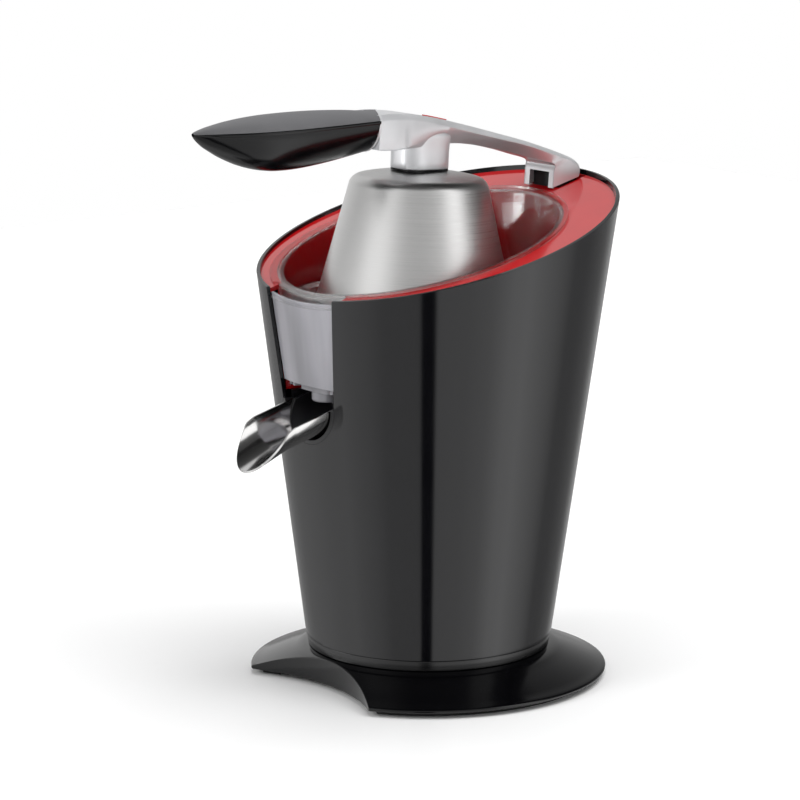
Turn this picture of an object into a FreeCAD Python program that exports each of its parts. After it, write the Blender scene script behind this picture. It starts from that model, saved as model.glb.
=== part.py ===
"""Citrus press juicer: a lever press over a motor-driven juicing cone.

Millimetres, +Z up.  The origin is on the table under the middle of the round base.
The pouring spout is at the front (-Y), the lever's hinge is at the rear (+Y), and the
machine is symmetric about the YZ plane.  One STEP file is written for each piece.
"""
import FreeCAD
import Part
import math
import os

Vec = FreeCAD.Vector
X_AXIS = Vec(1, 0, 0)
Z_AXIS = Vec(0, 0, 1)

# ---------------------------------------------------------------- driving dimensions
# Base
base_r = 105.0              # flared rim of the base
foot_h = 3.0                # rubber foot ring under the base
base_edge_h = 2.6           # upright edge of the flared rim
base_top_z = 18.2           # where the flare meets the body
base_wall = 3.0
notch_r = 118.0             # concave front of the base, room for a glass
notch_y = -74.0             # deepest point of that notch
# Body
foot_z = 18.7               # lower end of the body
foot_r = 71.7
taper = 0.1373              # radius gained per mm of height
lean_deg = 0.72             # the body leans back by this much
band_h = 6.2                # trim band at the body's lower end
shell_wall = 3.0
rim_mid_z = 260.7           # the slanted rim's height over the origin
rim_slope = 0.2629          # rise of the rim per mm towards the rear
# Front slot in the body
slot_top_half = 33.5        # half width where it leaves the rim
slot_low_half = 24.1        # half width and end radius at its lower end
slot_low_z = 172.6          # centre of its rounded lower end
# Drive and bowl
axis_y = -7.0               # axis of the cone, strainer, bowl and closed dome
deck_drop = 2.0             # red deck's depth below the rim
deck_t = 2.5
well_top_r = 84.7           # inner radius of the red well at its top
well_low_r = 78.5
well_floor_z = 176.0
flange_r = 88.6             # outer radius of the clear bowl's flange
flange_in_r = 81.3
flange_skirt = 5.0
flange_drop = 0.3           # depth of the flange's top below the rim
bowl_wall = 2.0
bowl_low_r = 76.5           # outer radius of the bowl at its floor
bowl_floor_z = 182.5
sump_z = 178.3
outlet_y = -74.4            # juice outlet under the bowl
outlet_r = 8.5
outlet_low_z = 172.3
chimney_r = 11.0
chimney_top_z = 210.5
strainer_floor_z = 209.0
strainer_rim_r = 77.0
strainer_rim_z = 226.5
cone_r = 36.0
cone_low_z = 213.0
cone_top_z = 266.0
cone_ribs = 10
shaft_r = 5.0
# Drive train
module_1 = 1.0              # motor pinion to idler
module_2 = 1.25             # idler to output gear
small_teeth = 14
large_teeth = 56
pressure_deg = 25.0
backlash = 0.16
can_r = 32.0
can_low_z = 34.0
can_top_z = 100.0
box_r = 59.0                # gearbox
box_y = 11.0
box_low_z = 104.0
cover_z = 142.0
# Lever
pin_y = 97.0                # lever hinge pin
pin_z = 289.0
pin_r = 2.5
lever_raise_deg = 2.8       # how far the lever stands above its closed position at rest
root_half = 13.3            # half width of the lever at its hinge
neck_half_x = 12.5
neck_half_y = 16.0
neck_round = 6.0
dome_low_z = 217.7          # the dome's lower edge with the lever closed
dome_low_r = 57.2
dome_high_r = 39.4
dome_h = 72.2
dome_wall = 1.2
grip_front_y = -165.0
grip_rear_y = -46.0
grip_seam_z = 332.4
button_y = 4.0
arm_slope_deg = 13.7        # fall of the arm's top at the button
# Spout
spout_pin_y = -60.0
spout_pin_z = 168.0
spout_half = 20.5
spout_depth = 16.5
spout_slope_deg = 14.7
spout_wall = 1.2
spout_nose_y = -133.0

OUT = "parts"
REACH = 400.0               # half size of the large cutting blocks


# ---------------------------------------------------------------- plain shapes
def cyl(radius, low, high, x=0.0, y=0.0):
    """Upright cylinder between two heights."""
    return Part.makeCylinder(radius, high - low, Vec(x, y, low), Z_AXIS)


def cross_cyl(radius, half, y, z):
    """Cylinder along X, centred on the YZ plane."""
    return Part.makeCylinder(radius, 2 * half, Vec(-half, y, z), X_AXIS)


def tube(outer, inner, low, high, x=0.0, y=0.0):
    """Upright tube between two heights."""
    return cyl(outer, low, high, x, y).cut(cyl(inner, low - 1, high + 1, x, y))


def frustum(low_r, high_r, low, high, x=0.0, y=0.0):
    """Upright truncated cone between two heights."""
    return Part.makeCone(low_r, high_r, high - low, Vec(x, y, low), Z_AXIS)


def block(x0, x1, y0, y1, z0, z1):
    """Rectangular block from its limits."""
    return Part.makeBox(x1 - x0, y1 - y0, z1 - z0, Vec(x0, y0, z0))


def slab(low, high):
    """Everything between two heights."""
    return block(-REACH, REACH, -REACH, REACH, low, high)


def fuse(shapes):
    """One clean solid from several that touch."""
    whole = shapes[0]
    for shape in shapes[1:]:
        whole = whole.fuse(shape)
    return whole.removeSplitter()


def turned(points, y=0.0, x=0.0):
    """Solid turned from a closed outline of (radius, height) points."""
    corners = [Vec(r, 0, z) for r, z in points]
    face = Part.Face(Part.makePolygon(corners + corners[:1]))
    solid = face.revolve(Vec(0, 0, 0), Z_AXIS, 360)
    solid.translate(Vec(x, y, 0))
    return solid


def extruded_yz(edges, half):
    """Solid from a closed outline in the YZ plane, extruded both ways along X."""
    face = Part.Face(Part.Wire(Part.__sortEdges__(edges)))
    solid = face.extrude(Vec(2 * half, 0, 0))
    solid.translate(Vec(-half, 0, 0))
    return solid


def line(a, b):
    """Straight edge."""
    return Part.makeLine(a, b)


def curve(points):
    """Smooth edge through points."""
    spline = Part.BSplineCurve()
    spline.interpolate(points)
    return spline.toShape()


def yz(y, z):
    """Point in the YZ plane."""
    return Vec(0, y, z)


def at_hinge(shape, degrees):
    """Raise a shape about the lever's hinge pin."""
    shape.rotate(Vec(0, pin_y, pin_z), Vec(-1, 0, 0), degrees)
    return shape


def save(name, shape):
    """Write one piece."""
    shape.exportStep(os.path.join(OUT, name + ".step"))


# ---------------------------------------------------------------- body geometry
def body_r(z):
    """Outer radius of the body at a height."""
    return foot_r + taper * (z - foot_z)


def body_cone(inset):
    """Solid inside the body's outer surface, moved inwards by inset."""
    low = 0.0
    high = 330.0
    cone = frustum(body_r(low) - inset, body_r(high) - inset, low, high)
    cone.rotate(Vec(0, 0, foot_z), X_AXIS, -lean_deg)
    return cone


def below_rim(drop):
    """Everything under the slanted rim plane lowered by drop."""
    half = block(-REACH, REACH, -REACH, REACH, -REACH, -drop)
    half.rotate(Vec(0, 0, 0), X_AXIS, math.degrees(math.atan(rim_slope)))
    half.translate(Vec(0, 0, rim_mid_z))
    return half


def slot_cutter(inset):
    """Front slot: straight sides that close in downwards, and a round lower end."""
    high = rim_mid_z
    low_half = slot_low_half - inset
    top_half = slot_top_half - inset
    corners = [Vec(-top_half, 0, high), Vec(-low_half, 0, slot_low_z),
               Vec(low_half, 0, slot_low_z), Vec(top_half, 0, high)]
    upper = Part.Face(Part.makePolygon(corners + corners[:1])).extrude(Vec(0, -150, 0))
    lower = Part.makeCylinder(low_half, 150, Vec(0, 0, slot_low_z), Vec(0, -1, 0))
    cutter = upper.fuse(lower)
    cutter.translate(Vec(0, -30, 0))
    return cutter


def notch_cutter(extra=0.0):
    """Cylinder that hollows the front of the base."""
    radius = notch_r + extra
    return cyl(radius, -10, 60, 0, notch_y - notch_r)


# ---------------------------------------------------------------- base
def foot_ring():
    """Soft ring that the machine stands on, open at the notch."""
    ring = tube(base_r - 7, base_r - 17, 0, foot_h)
    return ring.cut(notch_cutter(6))


def base_disc():
    """Flared base with a hollow underside."""
    low = foot_h
    edge = low + base_edge_h
    flare = [(0, low), (base_r - 1, low), (base_r, low + 1), (base_r, edge), (99, 7.6),
             (88, 12.0), (78, 15.9), (body_r(foot_z) + 1.6, base_top_z), (0, base_top_z)]
    inner = base_top_z - base_wall
    hollow = [(0, low - 1), (94, low - 1), (94, 6.5), (80, 11.6), (68, inner), (0, inner)]
    disc = turned(flare).cut(turned(hollow).cut(notch_cutter(4)))
    for x, y in screw_spots():
        disc = disc.fuse(cyl(5, low + 2.6, base_top_z - 1, x, y).cut(cyl(1.6, low, 14, x, y)))
    disc = disc.cut(notch_cutter())
    disc = disc.cut(cyl(58, inner - 1, base_top_z + 1))
    return disc.removeSplitter()


def screw_spots():
    """Places of the base plate's screws."""
    angles = [20, 90, 160, 235, 305]
    return [(64 * math.cos(math.radians(a)), 64 * math.sin(math.radians(a))) for a in angles]


def base_plate():
    """Cover under the base."""
    plate = cyl(93.6, foot_h - 0.6, foot_h + 2.4).cut(notch_cutter(4.6))
    plate = plate.cut(tube(base_r, base_r - 17.2, 0, foot_h))
    for x, y in screw_spots():
        plate = plate.cut(cyl(1.8, 0, 10, x, y))
    return plate


def base_screws():
    """Screws that hold the base plate."""
    screws = []
    for x, y in screw_spots():
        head = cyl(3.2, foot_h - 2.2, foot_h - 0.6, x, y)
        screws.append(head.fuse(cyl(1.6, foot_h - 0.6, 12, x, y)))
    return Part.makeCompound(screws)


def cord_inlet():
    """Gland for the mains lead, low at the rear of the body."""
    height = 38.0
    rear = body_r(height)
    gland = Part.makeCylinder(8.5, 4, Vec(0, rear - 0.6, height), Vec(0, 1, 0))
    sleeve = Part.makeCylinder(6.5, 12, Vec(0, rear - 9, height), Vec(0, 1, 0))
    bore = Part.makeCylinder(3.5, 40, Vec(0, rear - 20, height), Vec(0, 1, 0))
    return gland.fuse(sleeve).cut(body_cone(0).cut(inlet_hole())).cut(bore).removeSplitter()


def inlet_hole():
    """Hole in the body for the gland's sleeve."""
    return Part.makeCylinder(6.5, 60, Vec(0, 50, 38.0), Vec(0, 1, 0))


# ---------------------------------------------------------------- body
def body_shell():
    """Tapered housing with a slanted rim and the front slot."""
    shell = body_cone(0).cut(body_cone(shell_wall))
    shell = shell.common(slab(foot_z + band_h, 320)).common(below_rim(0))
    return shell.cut(slot_cutter(0)).cut(inlet_hole())


def trim_band():
    """Dark band at the foot of the body."""
    band = body_cone(0.5).cut(body_cone(shell_wall + 0.5))
    return band.common(slab(base_top_z, foot_z + band_h))


def spout_bezel():
    """Half-round collar that lines the lower end of the slot."""
    outer = slot_low_half
    inner = outer - 2.6
    collar = Part.makeCylinder(outer, 9, Vec(0, -82.5, slot_low_z), Vec(0, -1, 0))
    collar = collar.cut(Part.makeCylinder(inner, 40, Vec(0, -70, slot_low_z), Vec(0, -1, 0)))
    return collar.common(slab(100, slot_low_z - 1.5))


def spout_chamber():
    """Dark tray behind the slot that carries the spout's pin."""
    half = 24.0
    wall = 2.0
    low = 147.0
    tray = block(-half, half, -81.8, -49.5, low, well_floor_z)
    room = block(-half + wall, half - wall, -90, -51.5, low + wall, well_floor_z + 1)
    pin = cross_cyl(1.5, 30, spout_pin_y, spout_pin_z)
    return tray.common(body_cone(shell_wall + 0.1)).cut(room).cut(pin)


# ---------------------------------------------------------------- red deck and well
def deck_ring():
    """Slanted deck inside the rim."""
    ring = body_cone(shell_wall + 0.15).common(below_rim(deck_drop))
    return ring.cut(below_rim(deck_drop + deck_t))


def well_cone(extra):
    """Solid inside the well's inner surface, grown by extra."""
    high = 290.0
    return frustum(well_low_r + extra, well_top_r + extra, well_floor_z, high, 0, axis_y)


def hinge_boss():
    """Block under the deck that the lever's pocket is sunk into."""
    boss = block(-17, 17, 82, 112, 271, 292)
    return boss.common(body_cone(shell_wall + 0.15)).common(below_rim(deck_drop))


def red_deck():
    """Red deck, well and well floor in one moulding."""
    wall = well_cone(deck_t).common(below_rim(deck_drop))
    deck = fuse([deck_ring(), wall, hinge_boss()])
    deck = deck.cut(well_cone(0).common(slab(well_floor_z + deck_t, 320)))
    deck = deck.cut(cross_cyl(12.0, 13.9, pin_y, pin_z))
    deck = deck.cut(pedestal_block())
    deck = deck.cut(slot_cutter(0).common(block(-60, 60, -130, -40, 100, 300)))
    deck = deck.cut(block(-24, 24, -100, -49.5, 170, 180))
    return deck.cut(cyl(19, 170, 182, 0, axis_y))


def pedestal_block():
    """Upright of the hinge pedestal."""
    return block(-8.3, 8.3, 87.0, 99.5, 266, 290.3)


def hinge_pedestal():
    """Black upright that carries the lever's pin, with its foot under the deck."""
    head = cross_cyl(6.5, 8.3, pin_y, pin_z)
    stem = pedestal_block()
    foot = block(-13.5, 13.5, 85, 103, 266, 271)
    foot = foot.cut(cyl(1.6, 260, 275, 11, 90)).cut(cyl(1.6, 260, 275, -11, 90))
    return fuse([head, stem, foot]).cut(cross_cyl(pin_r, 20, pin_y, pin_z))


def pedestal_screws():
    """Two screws that hold the pedestal under the deck."""
    screws = []
    for x in (-11, 11):
        screws.append(cyl(2.8, 264, 266, x, 90).fuse(cyl(1.6, 266, 271, x, 90)))
    return Part.makeCompound(screws)


def hinge_pin():
    """Steel pin of the lever."""
    return cross_cyl(pin_r, 12.0, pin_y, pin_z)


# ---------------------------------------------------------------- bowl, strainer, cone
def bowl_cone(inset):
    """Solid inside the clear bowl's outer surface, moved inwards by inset."""
    high = 290.0
    return frustum(bowl_low_r - inset, 83.4 - inset, bowl_floor_z, high, 0, axis_y)


def bowl_flange():
    """Flat flange of the bowl with its short skirt, parallel to the rim."""
    ring = cyl(flange_r, 200, 320, 0, axis_y).common(below_rim(flange_drop))
    ring = ring.cut(below_rim(deck_drop))
    skirt = cyl(flange_r - 2.6, 200, 320, 0, axis_y).common(below_rim(deck_drop))
    skirt = skirt.cut(below_rim(deck_drop + flange_skirt)).common(slot_cutter(1.0))
    return ring.fuse(skirt)


def bowl_window(inset):
    """Solid inside the bowl's front window, which fills the slot, made smaller by inset."""
    front = body_cone(2.5 + inset).common(slot_cutter(0.8 + inset))
    front = front.common(slab(bowl_floor_z + inset, 300)).common(below_rim(deck_drop - 0.5))
    return front.common(block(-60, 60, -130, -70 + inset, 100, 300))


def juice_bowl():
    """Clear juice collector: flange, window, wall, floor, sump, outlet and chimney."""
    inner_floor = bowl_floor_z + bowl_wall
    wall = bowl_cone(0).common(below_rim(deck_drop - 1.0))
    sump = block(-14, 14, -84, -56, sump_z, inner_floor).common(bowl_cone(0).fuse(
        cyl(bowl_low_r, sump_z - 1, bowl_floor_z, 0, axis_y)))
    stub = cyl(outlet_r, outlet_low_z, sump_z + 1, 0, outlet_y)
    bowl = fuse([wall, bowl_window(0.0), bowl_flange(), sump, stub])
    hollow = bowl_cone(bowl_wall).common(slab(inner_floor, 320))
    bowl = bowl.cut(hollow).cut(bowl_window(bowl_wall))
    bowl = bowl.cut(cyl(flange_in_r, 225, 320, 0, axis_y).cut(below_rim(deck_drop - 0.8)))
    bowl = bowl.cut(block(-12, 12, -80.5, -58, sump_z + 2, inner_floor + 1))
    bowl = bowl.cut(cyl(5.5, outlet_low_z - 1, sump_z + 3, 0, outlet_y))
    chimney = cyl(chimney_r, bowl_floor_z, chimney_top_z, 0, axis_y)
    return fuse([bowl, chimney]).cut(cyl(chimney_r - 2, 180, 240, 0, axis_y))


def strainer():
    """Pulp strainer: slotted dish on a sleeve around the chimney."""
    low = strainer_floor_z
    top = strainer_rim_z
    dish = turned([(11.3, bowl_floor_z + bowl_wall), (13.3, bowl_floor_z + bowl_wall), (13.3, low),
                   (66, low), (strainer_rim_r - 1.6, top - 1.6), (strainer_rim_r, top - 1.6),
                   (strainer_rim_r, top), (strainer_rim_r - 3, top), (64.8, low + 2),
                   (11.3, low + 2)], axis_y)
    slots = []
    for index in range(36):
        slot = block(24, 56, -0.9, 0.9, low - 1, low + 3)
        slot.rotate(Vec(0, 0, 0), Z_AXIS, index * 10)
        slot.translate(Vec(0, axis_y, 0))
        slots.append(slot)
    return dish.cut(Part.makeCompound(slots))


def strainer_ring():
    """Black guide ring that stands in the strainer round the dome."""
    return tube(63.0, 60.4, strainer_floor_z + 2, 222.0, 0, axis_y)


def cone_profile(z):
    """Radius of the juicing cone's core at a height."""
    rise = (z - cone_low_z) / (cone_top_z - cone_low_z)
    return (cone_r - 3) * math.sqrt(max(0.0, 1 - rise ** 1.7))


def juicing_cone():
    """Ribbed cone over a drip skirt, driven by the shaft's flats."""
    heights = [cone_low_z + 2.5 + index * 5.1 for index in range(10)]
    core = [(0, cone_low_z), (48, cone_low_z), (48, cone_low_z + 2.5)]
    core += [(cone_profile(z), z) for z in heights] + [(3, cone_top_z - 1), (0, cone_top_z)]
    pieces = [turned(core, axis_y)]
    for index in range(cone_ribs):
        points = [Vec(2, 0, cone_low_z + 1), Vec(cone_r + 1, 0, cone_low_z + 1)]
        points += [Vec(cone_profile(z) + 3, 0, z) for z in heights[:-1]]
        points += [Vec(2, 0, cone_top_z - 1)]
        rib = Part.Face(Part.makePolygon(points + points[:1])).extrude(Vec(0, 2.2, 0))
        rib.translate(Vec(0, -1.1, 0))
        rib.rotate(Vec(0, 0, 0), Z_AXIS, index * 360 / cone_ribs)
        rib.translate(Vec(0, axis_y, 0))
        pieces.append(rib)
    return fuse(pieces).cut(drive_shaft())


# ---------------------------------------------------------------- drive train
def gear(teeth, module, low, high, x, y, first_deg):
    """Involute spur gear whose first tooth points at first_deg."""
    pitch = teeth * module / 2
    base = pitch * math.cos(math.radians(pressure_deg))
    tip = pitch + 0.85 * module
    root = pitch - 1.15 * module
    pressure = math.radians(pressure_deg)
    half = math.pi / 2 / teeth - backlash / 2 / pitch + math.tan(pressure) - pressure
    start = max(base, root)
    flank = [(root, half)]
    for step in range(5):
        radius = start + (tip - start) * step / 4
        angle = math.acos(min(1.0, base / radius))
        flank.append((radius, half - (math.tan(angle) - angle)))
    corners = []
    for tooth in range(teeth):
        middle = math.radians(first_deg) + 2 * math.pi * tooth / teeth
        for radius, spread in flank:
            corners.append(gear_point(radius, middle - spread, x, y, low))
        for radius, spread in reversed(flank):
            corners.append(gear_point(radius, middle + spread, x, y, low))
    face = Part.Face(Part.makePolygon(corners + corners[:1]))
    return face.extrude(Vec(0, 0, high - low))


def gear_point(radius, angle, x, y, z):
    """Point at a radius and angle about a gear's axis."""
    return Vec(x + radius * math.cos(angle), y + radius * math.sin(angle), z)


def idler_y():
    """Y of the idler's axis, from the second gear pair."""
    return axis_y + module_2 * (small_teeth + large_teeth) / 2


def motor_y():
    """Y of the motor's axis, from the first gear pair."""
    return idler_y() - module_1 * (small_teeth + large_teeth) / 2


def motor_pinion():
    """Pinion on the motor shaft."""
    pinion = gear(small_teeth, module_1, 109.5, 118.5, 0, motor_y(), 90)
    return pinion.cut(cyl(3.0, 100, 130, 0, motor_y()))


def idler_gear():
    """Two-step idler: the large wheel meets the pinion, the small one the output gear."""
    large = gear(large_teeth, module_1, 110, 118, 0, idler_y(), 270 + 180 / large_teeth)
    small = gear(small_teeth, module_2, 118, 134.5, 0, idler_y(), 270)
    return fuse([large, small]).cut(cyl(3.05, 100, 140, 0, idler_y()))


def output_gear():
    """Output gear on the drive shaft."""
    wheel = gear(large_teeth, module_2, 123, 133, 0, axis_y, 90 + 180 / large_teeth)
    wheel = wheel.cut(tube(29, 11, 129.5, 140, 0, axis_y))
    return wheel.cut(cyl(shaft_r, 100, 150, 0, axis_y))


def idler_pin():
    """Fixed pin of the idler."""
    return cyl(3.0, box_low_z + 3, cover_z, 0, idler_y())


def drive_shaft():
    """Shaft from the output gear to the cone, with a collar and two flats at its top."""
    shaft = cyl(shaft_r, 121.0, 246.0, 0, axis_y)
    collar = cyl(7.5, 181.6, 185.0, 0, axis_y)
    flats = block(-9, 9, axis_y - 9, axis_y + 9, 226, 250)
    flats = flats.cut(block(-3.6, 3.6, axis_y - 9, axis_y + 9, 220, 260))
    return fuse([shaft, collar]).cut(flats)


def switch_yoke():
    """Sliding yoke that the shaft's collar presses down on to work the switch."""
    disc = tube(16.5, shaft_r + 0.3, 179.0, 181.5, 0, axis_y)
    skirt = tube(16.5, 14.6, 162.0, 179.5, 0, axis_y)
    arm = block(15, 38, axis_y - 4, axis_y + 4, 162.0, 165.0)
    return fuse([disc, skirt, arm.cut(cyl(14.6, 150, 170, 0, axis_y))])


def coil(radius, wire, low, high, turns, y):
    """Closed coil spring standing on end."""
    clear = wire / 2
    pitch = (high - low - wire) / turns
    helix = Part.makeHelix(pitch, high - low - wire, radius)
    circle = Part.Wire(Part.makeCircle(clear, Vec(radius, 0, 0), Vec(0, 1, 0)))
    spring = Part.Wire(helix).makePipeShell([circle], True, True)
    spring.translate(Vec(0, y, low + clear))
    return spring


def yoke_spring():
    """Spring that lifts the yoke, the shaft and the cone."""
    return coil(8.6, 1.0, 173.2, 178.9, 3, axis_y)


def shaft_bushes():
    """Two plain bushes of the drive shaft."""
    bushes = []
    for low in (146, 164):
        bushes.append(tube(8.0, shaft_r + 0.05, low, low + 8, 0, axis_y))
    return Part.makeCompound(bushes)


def shaft_seal():
    """Seal between the shaft and the top of the bowl's chimney."""
    return tube(chimney_r - 2, shaft_r + 0.08, 206, 210, 0, axis_y)


def gearbox_housing():
    """Round cup under the gears."""
    cup = cyl(box_r, box_low_z, cover_z, 0, box_y)
    room = cyl(box_r - 2.5, box_low_z + 3, cover_z + 1, 0, box_y)
    cup = cup.cut(room).cut(cyl(9.0, 100, 110, 0, motor_y()))
    return cup.fuse(tube(7, 3.0, box_low_z + 3, 109.5, 0, idler_y())).removeSplitter()


def gearbox_cover():
    """Lid of the gearbox with the shaft's bearing tower."""
    lid = cyl(box_r, cover_z, cover_z + 3, 0, box_y)
    tower = cyl(14.0, cover_z + 3, 173, 0, axis_y)
    cover = fuse([lid, tower])
    cover = cover.cut(cyl(shaft_r + 1, 130, 180, 0, axis_y))
    for low in (146, 164):
        cover = cover.cut(cyl(8.0, low, low + 8, 0, axis_y))
    return cover.cut(cyl(8.0, 172, 174, 0, axis_y))


def gearbox_screws():
    """Screws round the gearbox lid."""
    screws = []
    for angle in (35, 145, 215, 325):
        x = (box_r - 4.5) * math.cos(math.radians(angle))
        y = box_y + (box_r - 4.5) * math.sin(math.radians(angle))
        screws.append(cyl(2.8, cover_z + 3, cover_z + 5, x, y))
    return Part.makeCompound(screws)


def micro_switch():
    """Switch beside the bearing tower."""
    case = block(22, 42, axis_y - 4, axis_y + 4, cover_z + 3, 156)
    plunger = cyl(1.5, 156, 159.8, 31, axis_y)
    return case.fuse(plunger).removeSplitter()


def motor_frame():
    """Plate on four posts that carries the motor and gearbox."""
    plate = cyl(77, can_top_z, box_low_z)
    plate = plate.cut(cyl(10, 90, 110, 0, motor_y()))
    pieces = [plate]
    for angle in (45, 135, 225, 315):
        x = 62 * math.cos(math.radians(angle))
        y = 62 * math.sin(math.radians(angle))
        pieces.append(frustum(6, 5, base_top_z, can_top_z, x, y))
    return fuse(pieces)


def motor_can():
    """Steel can of the motor."""
    can = cyl(can_r, can_low_z, can_top_z - 2, 0, motor_y())
    can = can.cut(cyl(can_r - 1.5, can_low_z + 1.5, can_top_z, 0, motor_y()))
    return can.cut(cyl(7, 20, 50, 0, motor_y()))


def motor_bell():
    """End cap of the motor with its upper bush seat."""
    bell = cyl(can_r, can_top_z - 2, can_top_z, 0, motor_y())
    return bell.cut(cyl(7, 90, 110, 0, motor_y()))


def stator():
    """Laminated stator with its winding, as one ring."""
    return tube(can_r - 1.6, 21.0, 46, 86, 0, motor_y())


def rotor_core():
    """Laminated rotor."""
    return cyl(20.0, 47, 85, 0, motor_y()).cut(cyl(3.0, 40, 90, 0, motor_y()))


def motor_shaft():
    """Motor shaft."""
    return cyl(3.0, 33, 119, 0, motor_y())


def motor_bushes():
    """Motor bearings, bottom and top."""
    low = tube(7, 3.05, can_low_z, can_low_z + 7, 0, motor_y())
    top = tube(7, 3.05, can_top_z - 6, can_top_z, 0, motor_y())
    return Part.makeCompound([low, top])


def terminal_block():
    """Terminals where the mains lead ends inside."""
    return block(-14, 14, 46, 58, base_top_z, 32).cut(block(-10, 10, 40, 54, 26, 40))


# ---------------------------------------------------------------- lever
def arm_plan():
    """Plan of the arm: a little wider towards the grip."""
    corners = [Vec(-root_half, 120, 250), Vec(-root_half, 30, 250), Vec(-17.0, grip_rear_y, 250),
               Vec(17.0, grip_rear_y, 250), Vec(root_half, 30, 250), Vec(root_half, 120, 250)]
    return Part.Face(Part.makePolygon(corners + corners[:1])).extrude(Vec(0, 0, 120))


def arm_side():
    """Side shape of the arm from the grip's joint to the hinge."""
    top = [yz(grip_rear_y, 336.2), yz(-15, 332.6), yz(22, 323.6), yz(59, 313.0), yz(94, 301.0),
           yz(104, 296.2)]
    end = [yz(107.6, 291.5), yz(106.6, 288.0)]
    under = [yz(84.8, 297.0), yz(70, 300.5), yz(46, 307.8), yz(12, 314.4)]
    edges = [curve(top), Part.Arc(top[-1], end[0], end[1]).toShape(), line(end[1], yz(83.5, 281.9)),
             line(yz(83.5, 281.9), under[0]), curve(under), line(under[-1], yz(grip_rear_y, 314.4)),
             line(yz(grip_rear_y, 314.4), top[0])]
    return extruded_yz(edges, 20)


def tang(extra):
    """Flat tongue of the arm inside the grip."""
    return block(-8 - extra, 8 + extra, -128 - extra, grip_rear_y + 4, 324 - extra, 330 + extra)


def lever_arm():
    """Cast arm: tongue, beam, and a forked root around the pedestal."""
    arm = arm_side().common(arm_plan())
    fork = block(-8.7, 8.7, 70, 120, 270, 291.0)
    fork = fork.fuse(cross_cyl(7.3, 8.7, pin_y, pin_z)).fuse(block(-8.7, 8.7, 97, 120, 270, 292.5))
    arm = arm.cut(fork).cut(cross_cyl(pin_r + 0.05, 12.3, pin_y, pin_z))
    arm = arm.cut(block(-3.2, 3.2, button_y - 7.6, button_y + 7.6, 319.5, 340))
    arm = arm.cut(cyl(2.3, 300, 340, 0, button_y))
    return arm.fuse(tang(0)).removeSplitter()


def rounded_column(half_x, half_y, corner, low, high, y):
    """Upright column with rounded corners."""
    column = block(-half_x, half_x, y - half_y, y + half_y, low, high)
    uprights = [e for e in column.Edges if abs(e.Vertexes[0].Z - e.Vertexes[1].Z) > 1]
    return column.makeFillet(corner, uprights)


def lever_neck():
    """Hollow neck between the arm and the dome."""
    low = dome_low_z + dome_h + 5.4
    high = 318.0
    neck = rounded_column(neck_half_x, neck_half_y, neck_round, low, high, axis_y)
    inner = rounded_column(neck_half_x - 2.5, neck_half_y - 2.5, neck_round - 2.5, low - 1,
                           high + 1, axis_y)
    neck = at_hinge(neck.cut(inner), lever_raise_deg)
    return neck.cut(arm_side())


def dome_outline(inset):
    """Outline of the dome: straight side, round shoulder, shallow crown."""
    low = dome_low_z
    shoulder = low + dome_h
    points = [(0, low), (dome_low_r - inset, low)]
    points.append((dome_high_r + 1.9 - inset, shoulder - 8.0))
    for angle in (10, 30, 50, 70):
        swing = math.radians(angle)
        points.append((dome_high_r - 6.6 - inset + 8.0 * math.cos(swing),
                       shoulder - 6.6 - inset + 8.0 * math.sin(swing)))
    points += [(26, shoulder + 2.6 - inset), (17, shoulder + 3.8 - inset), (0, shoulder + 4.2 - inset)]
    return points


def press_dome():
    """Stainless pressing dome."""
    skin = turned(dome_outline(0), axis_y).cut(turned(dome_outline(dome_wall), axis_y))
    skin = skin.cut(cyl(6.0, 250, 320, 0, axis_y))
    hem = tube(dome_low_r, dome_low_r - 2.0, dome_low_z, dome_low_z + 1.2, 0, axis_y)
    return at_hinge(skin.fuse(hem).removeSplitter(), lever_raise_deg)


def dome_hub():
    """Black hub through the dome's crown, which seats the neck."""
    crown = dome_low_z + dome_h + 4.2
    washer = rounded_column(neck_half_x - 1.2, neck_half_y - 1.2, neck_round - 1, crown,
                            crown + 1.2, axis_y)
    stem = cyl(6.0, crown - 8, crown + 14, 0, axis_y)
    hub = fuse([washer, stem])
    return at_hinge(hub.cut(cyl(2.6, crown + 2, crown + 20, 0, axis_y)), lever_raise_deg)


def press_cup():
    """Ribbed plastic cup inside the dome that bears on the fruit."""
    top = dome_low_z + dome_h + 2.6
    shell = turned([(6.2, top), (24, top - 1.2), (34, top - 9), (42, top - 38), (40, top - 38),
                    (32, top - 10), (22, top - 4), (6.2, top - 3)], axis_y)
    pieces = [shell]
    for index in range(8):
        rib = block(14, 33, -1, 1, top - 13, top - 4)
        rib.rotate(Vec(0, 0, 0), Z_AXIS, index * 45)
        rib.translate(Vec(0, axis_y, 0))
        pieces.append(rib)
    cup = fuse(pieces)
    return at_hinge(cup.common(turned(dome_outline(dome_wall + 0.1), axis_y)), lever_raise_deg)


def release_button():
    """Lens-shaped button on the arm with its stem."""
    cap = block(-2.9, 2.9, button_y - 6.6, button_y + 7.2, 324.0, 329.2)
    cap = cap.common(Part.makeCylinder(16, 40, Vec(10.5, button_y, 300), Z_AXIS))
    cap = cap.common(Part.makeCylinder(16, 40, Vec(-10.5, button_y, 300), Z_AXIS))
    cap.rotate(Vec(0, button_y, 328.4), X_AXIS, -arm_slope_deg)
    stem = cyl(1.6, 311, 324.5, 0, button_y)
    return fuse([cap, stem])


def button_spring():
    """Spring under the button."""
    return coil(2.4, 0.6, 319.6, 323.1, 3, button_y)


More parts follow.
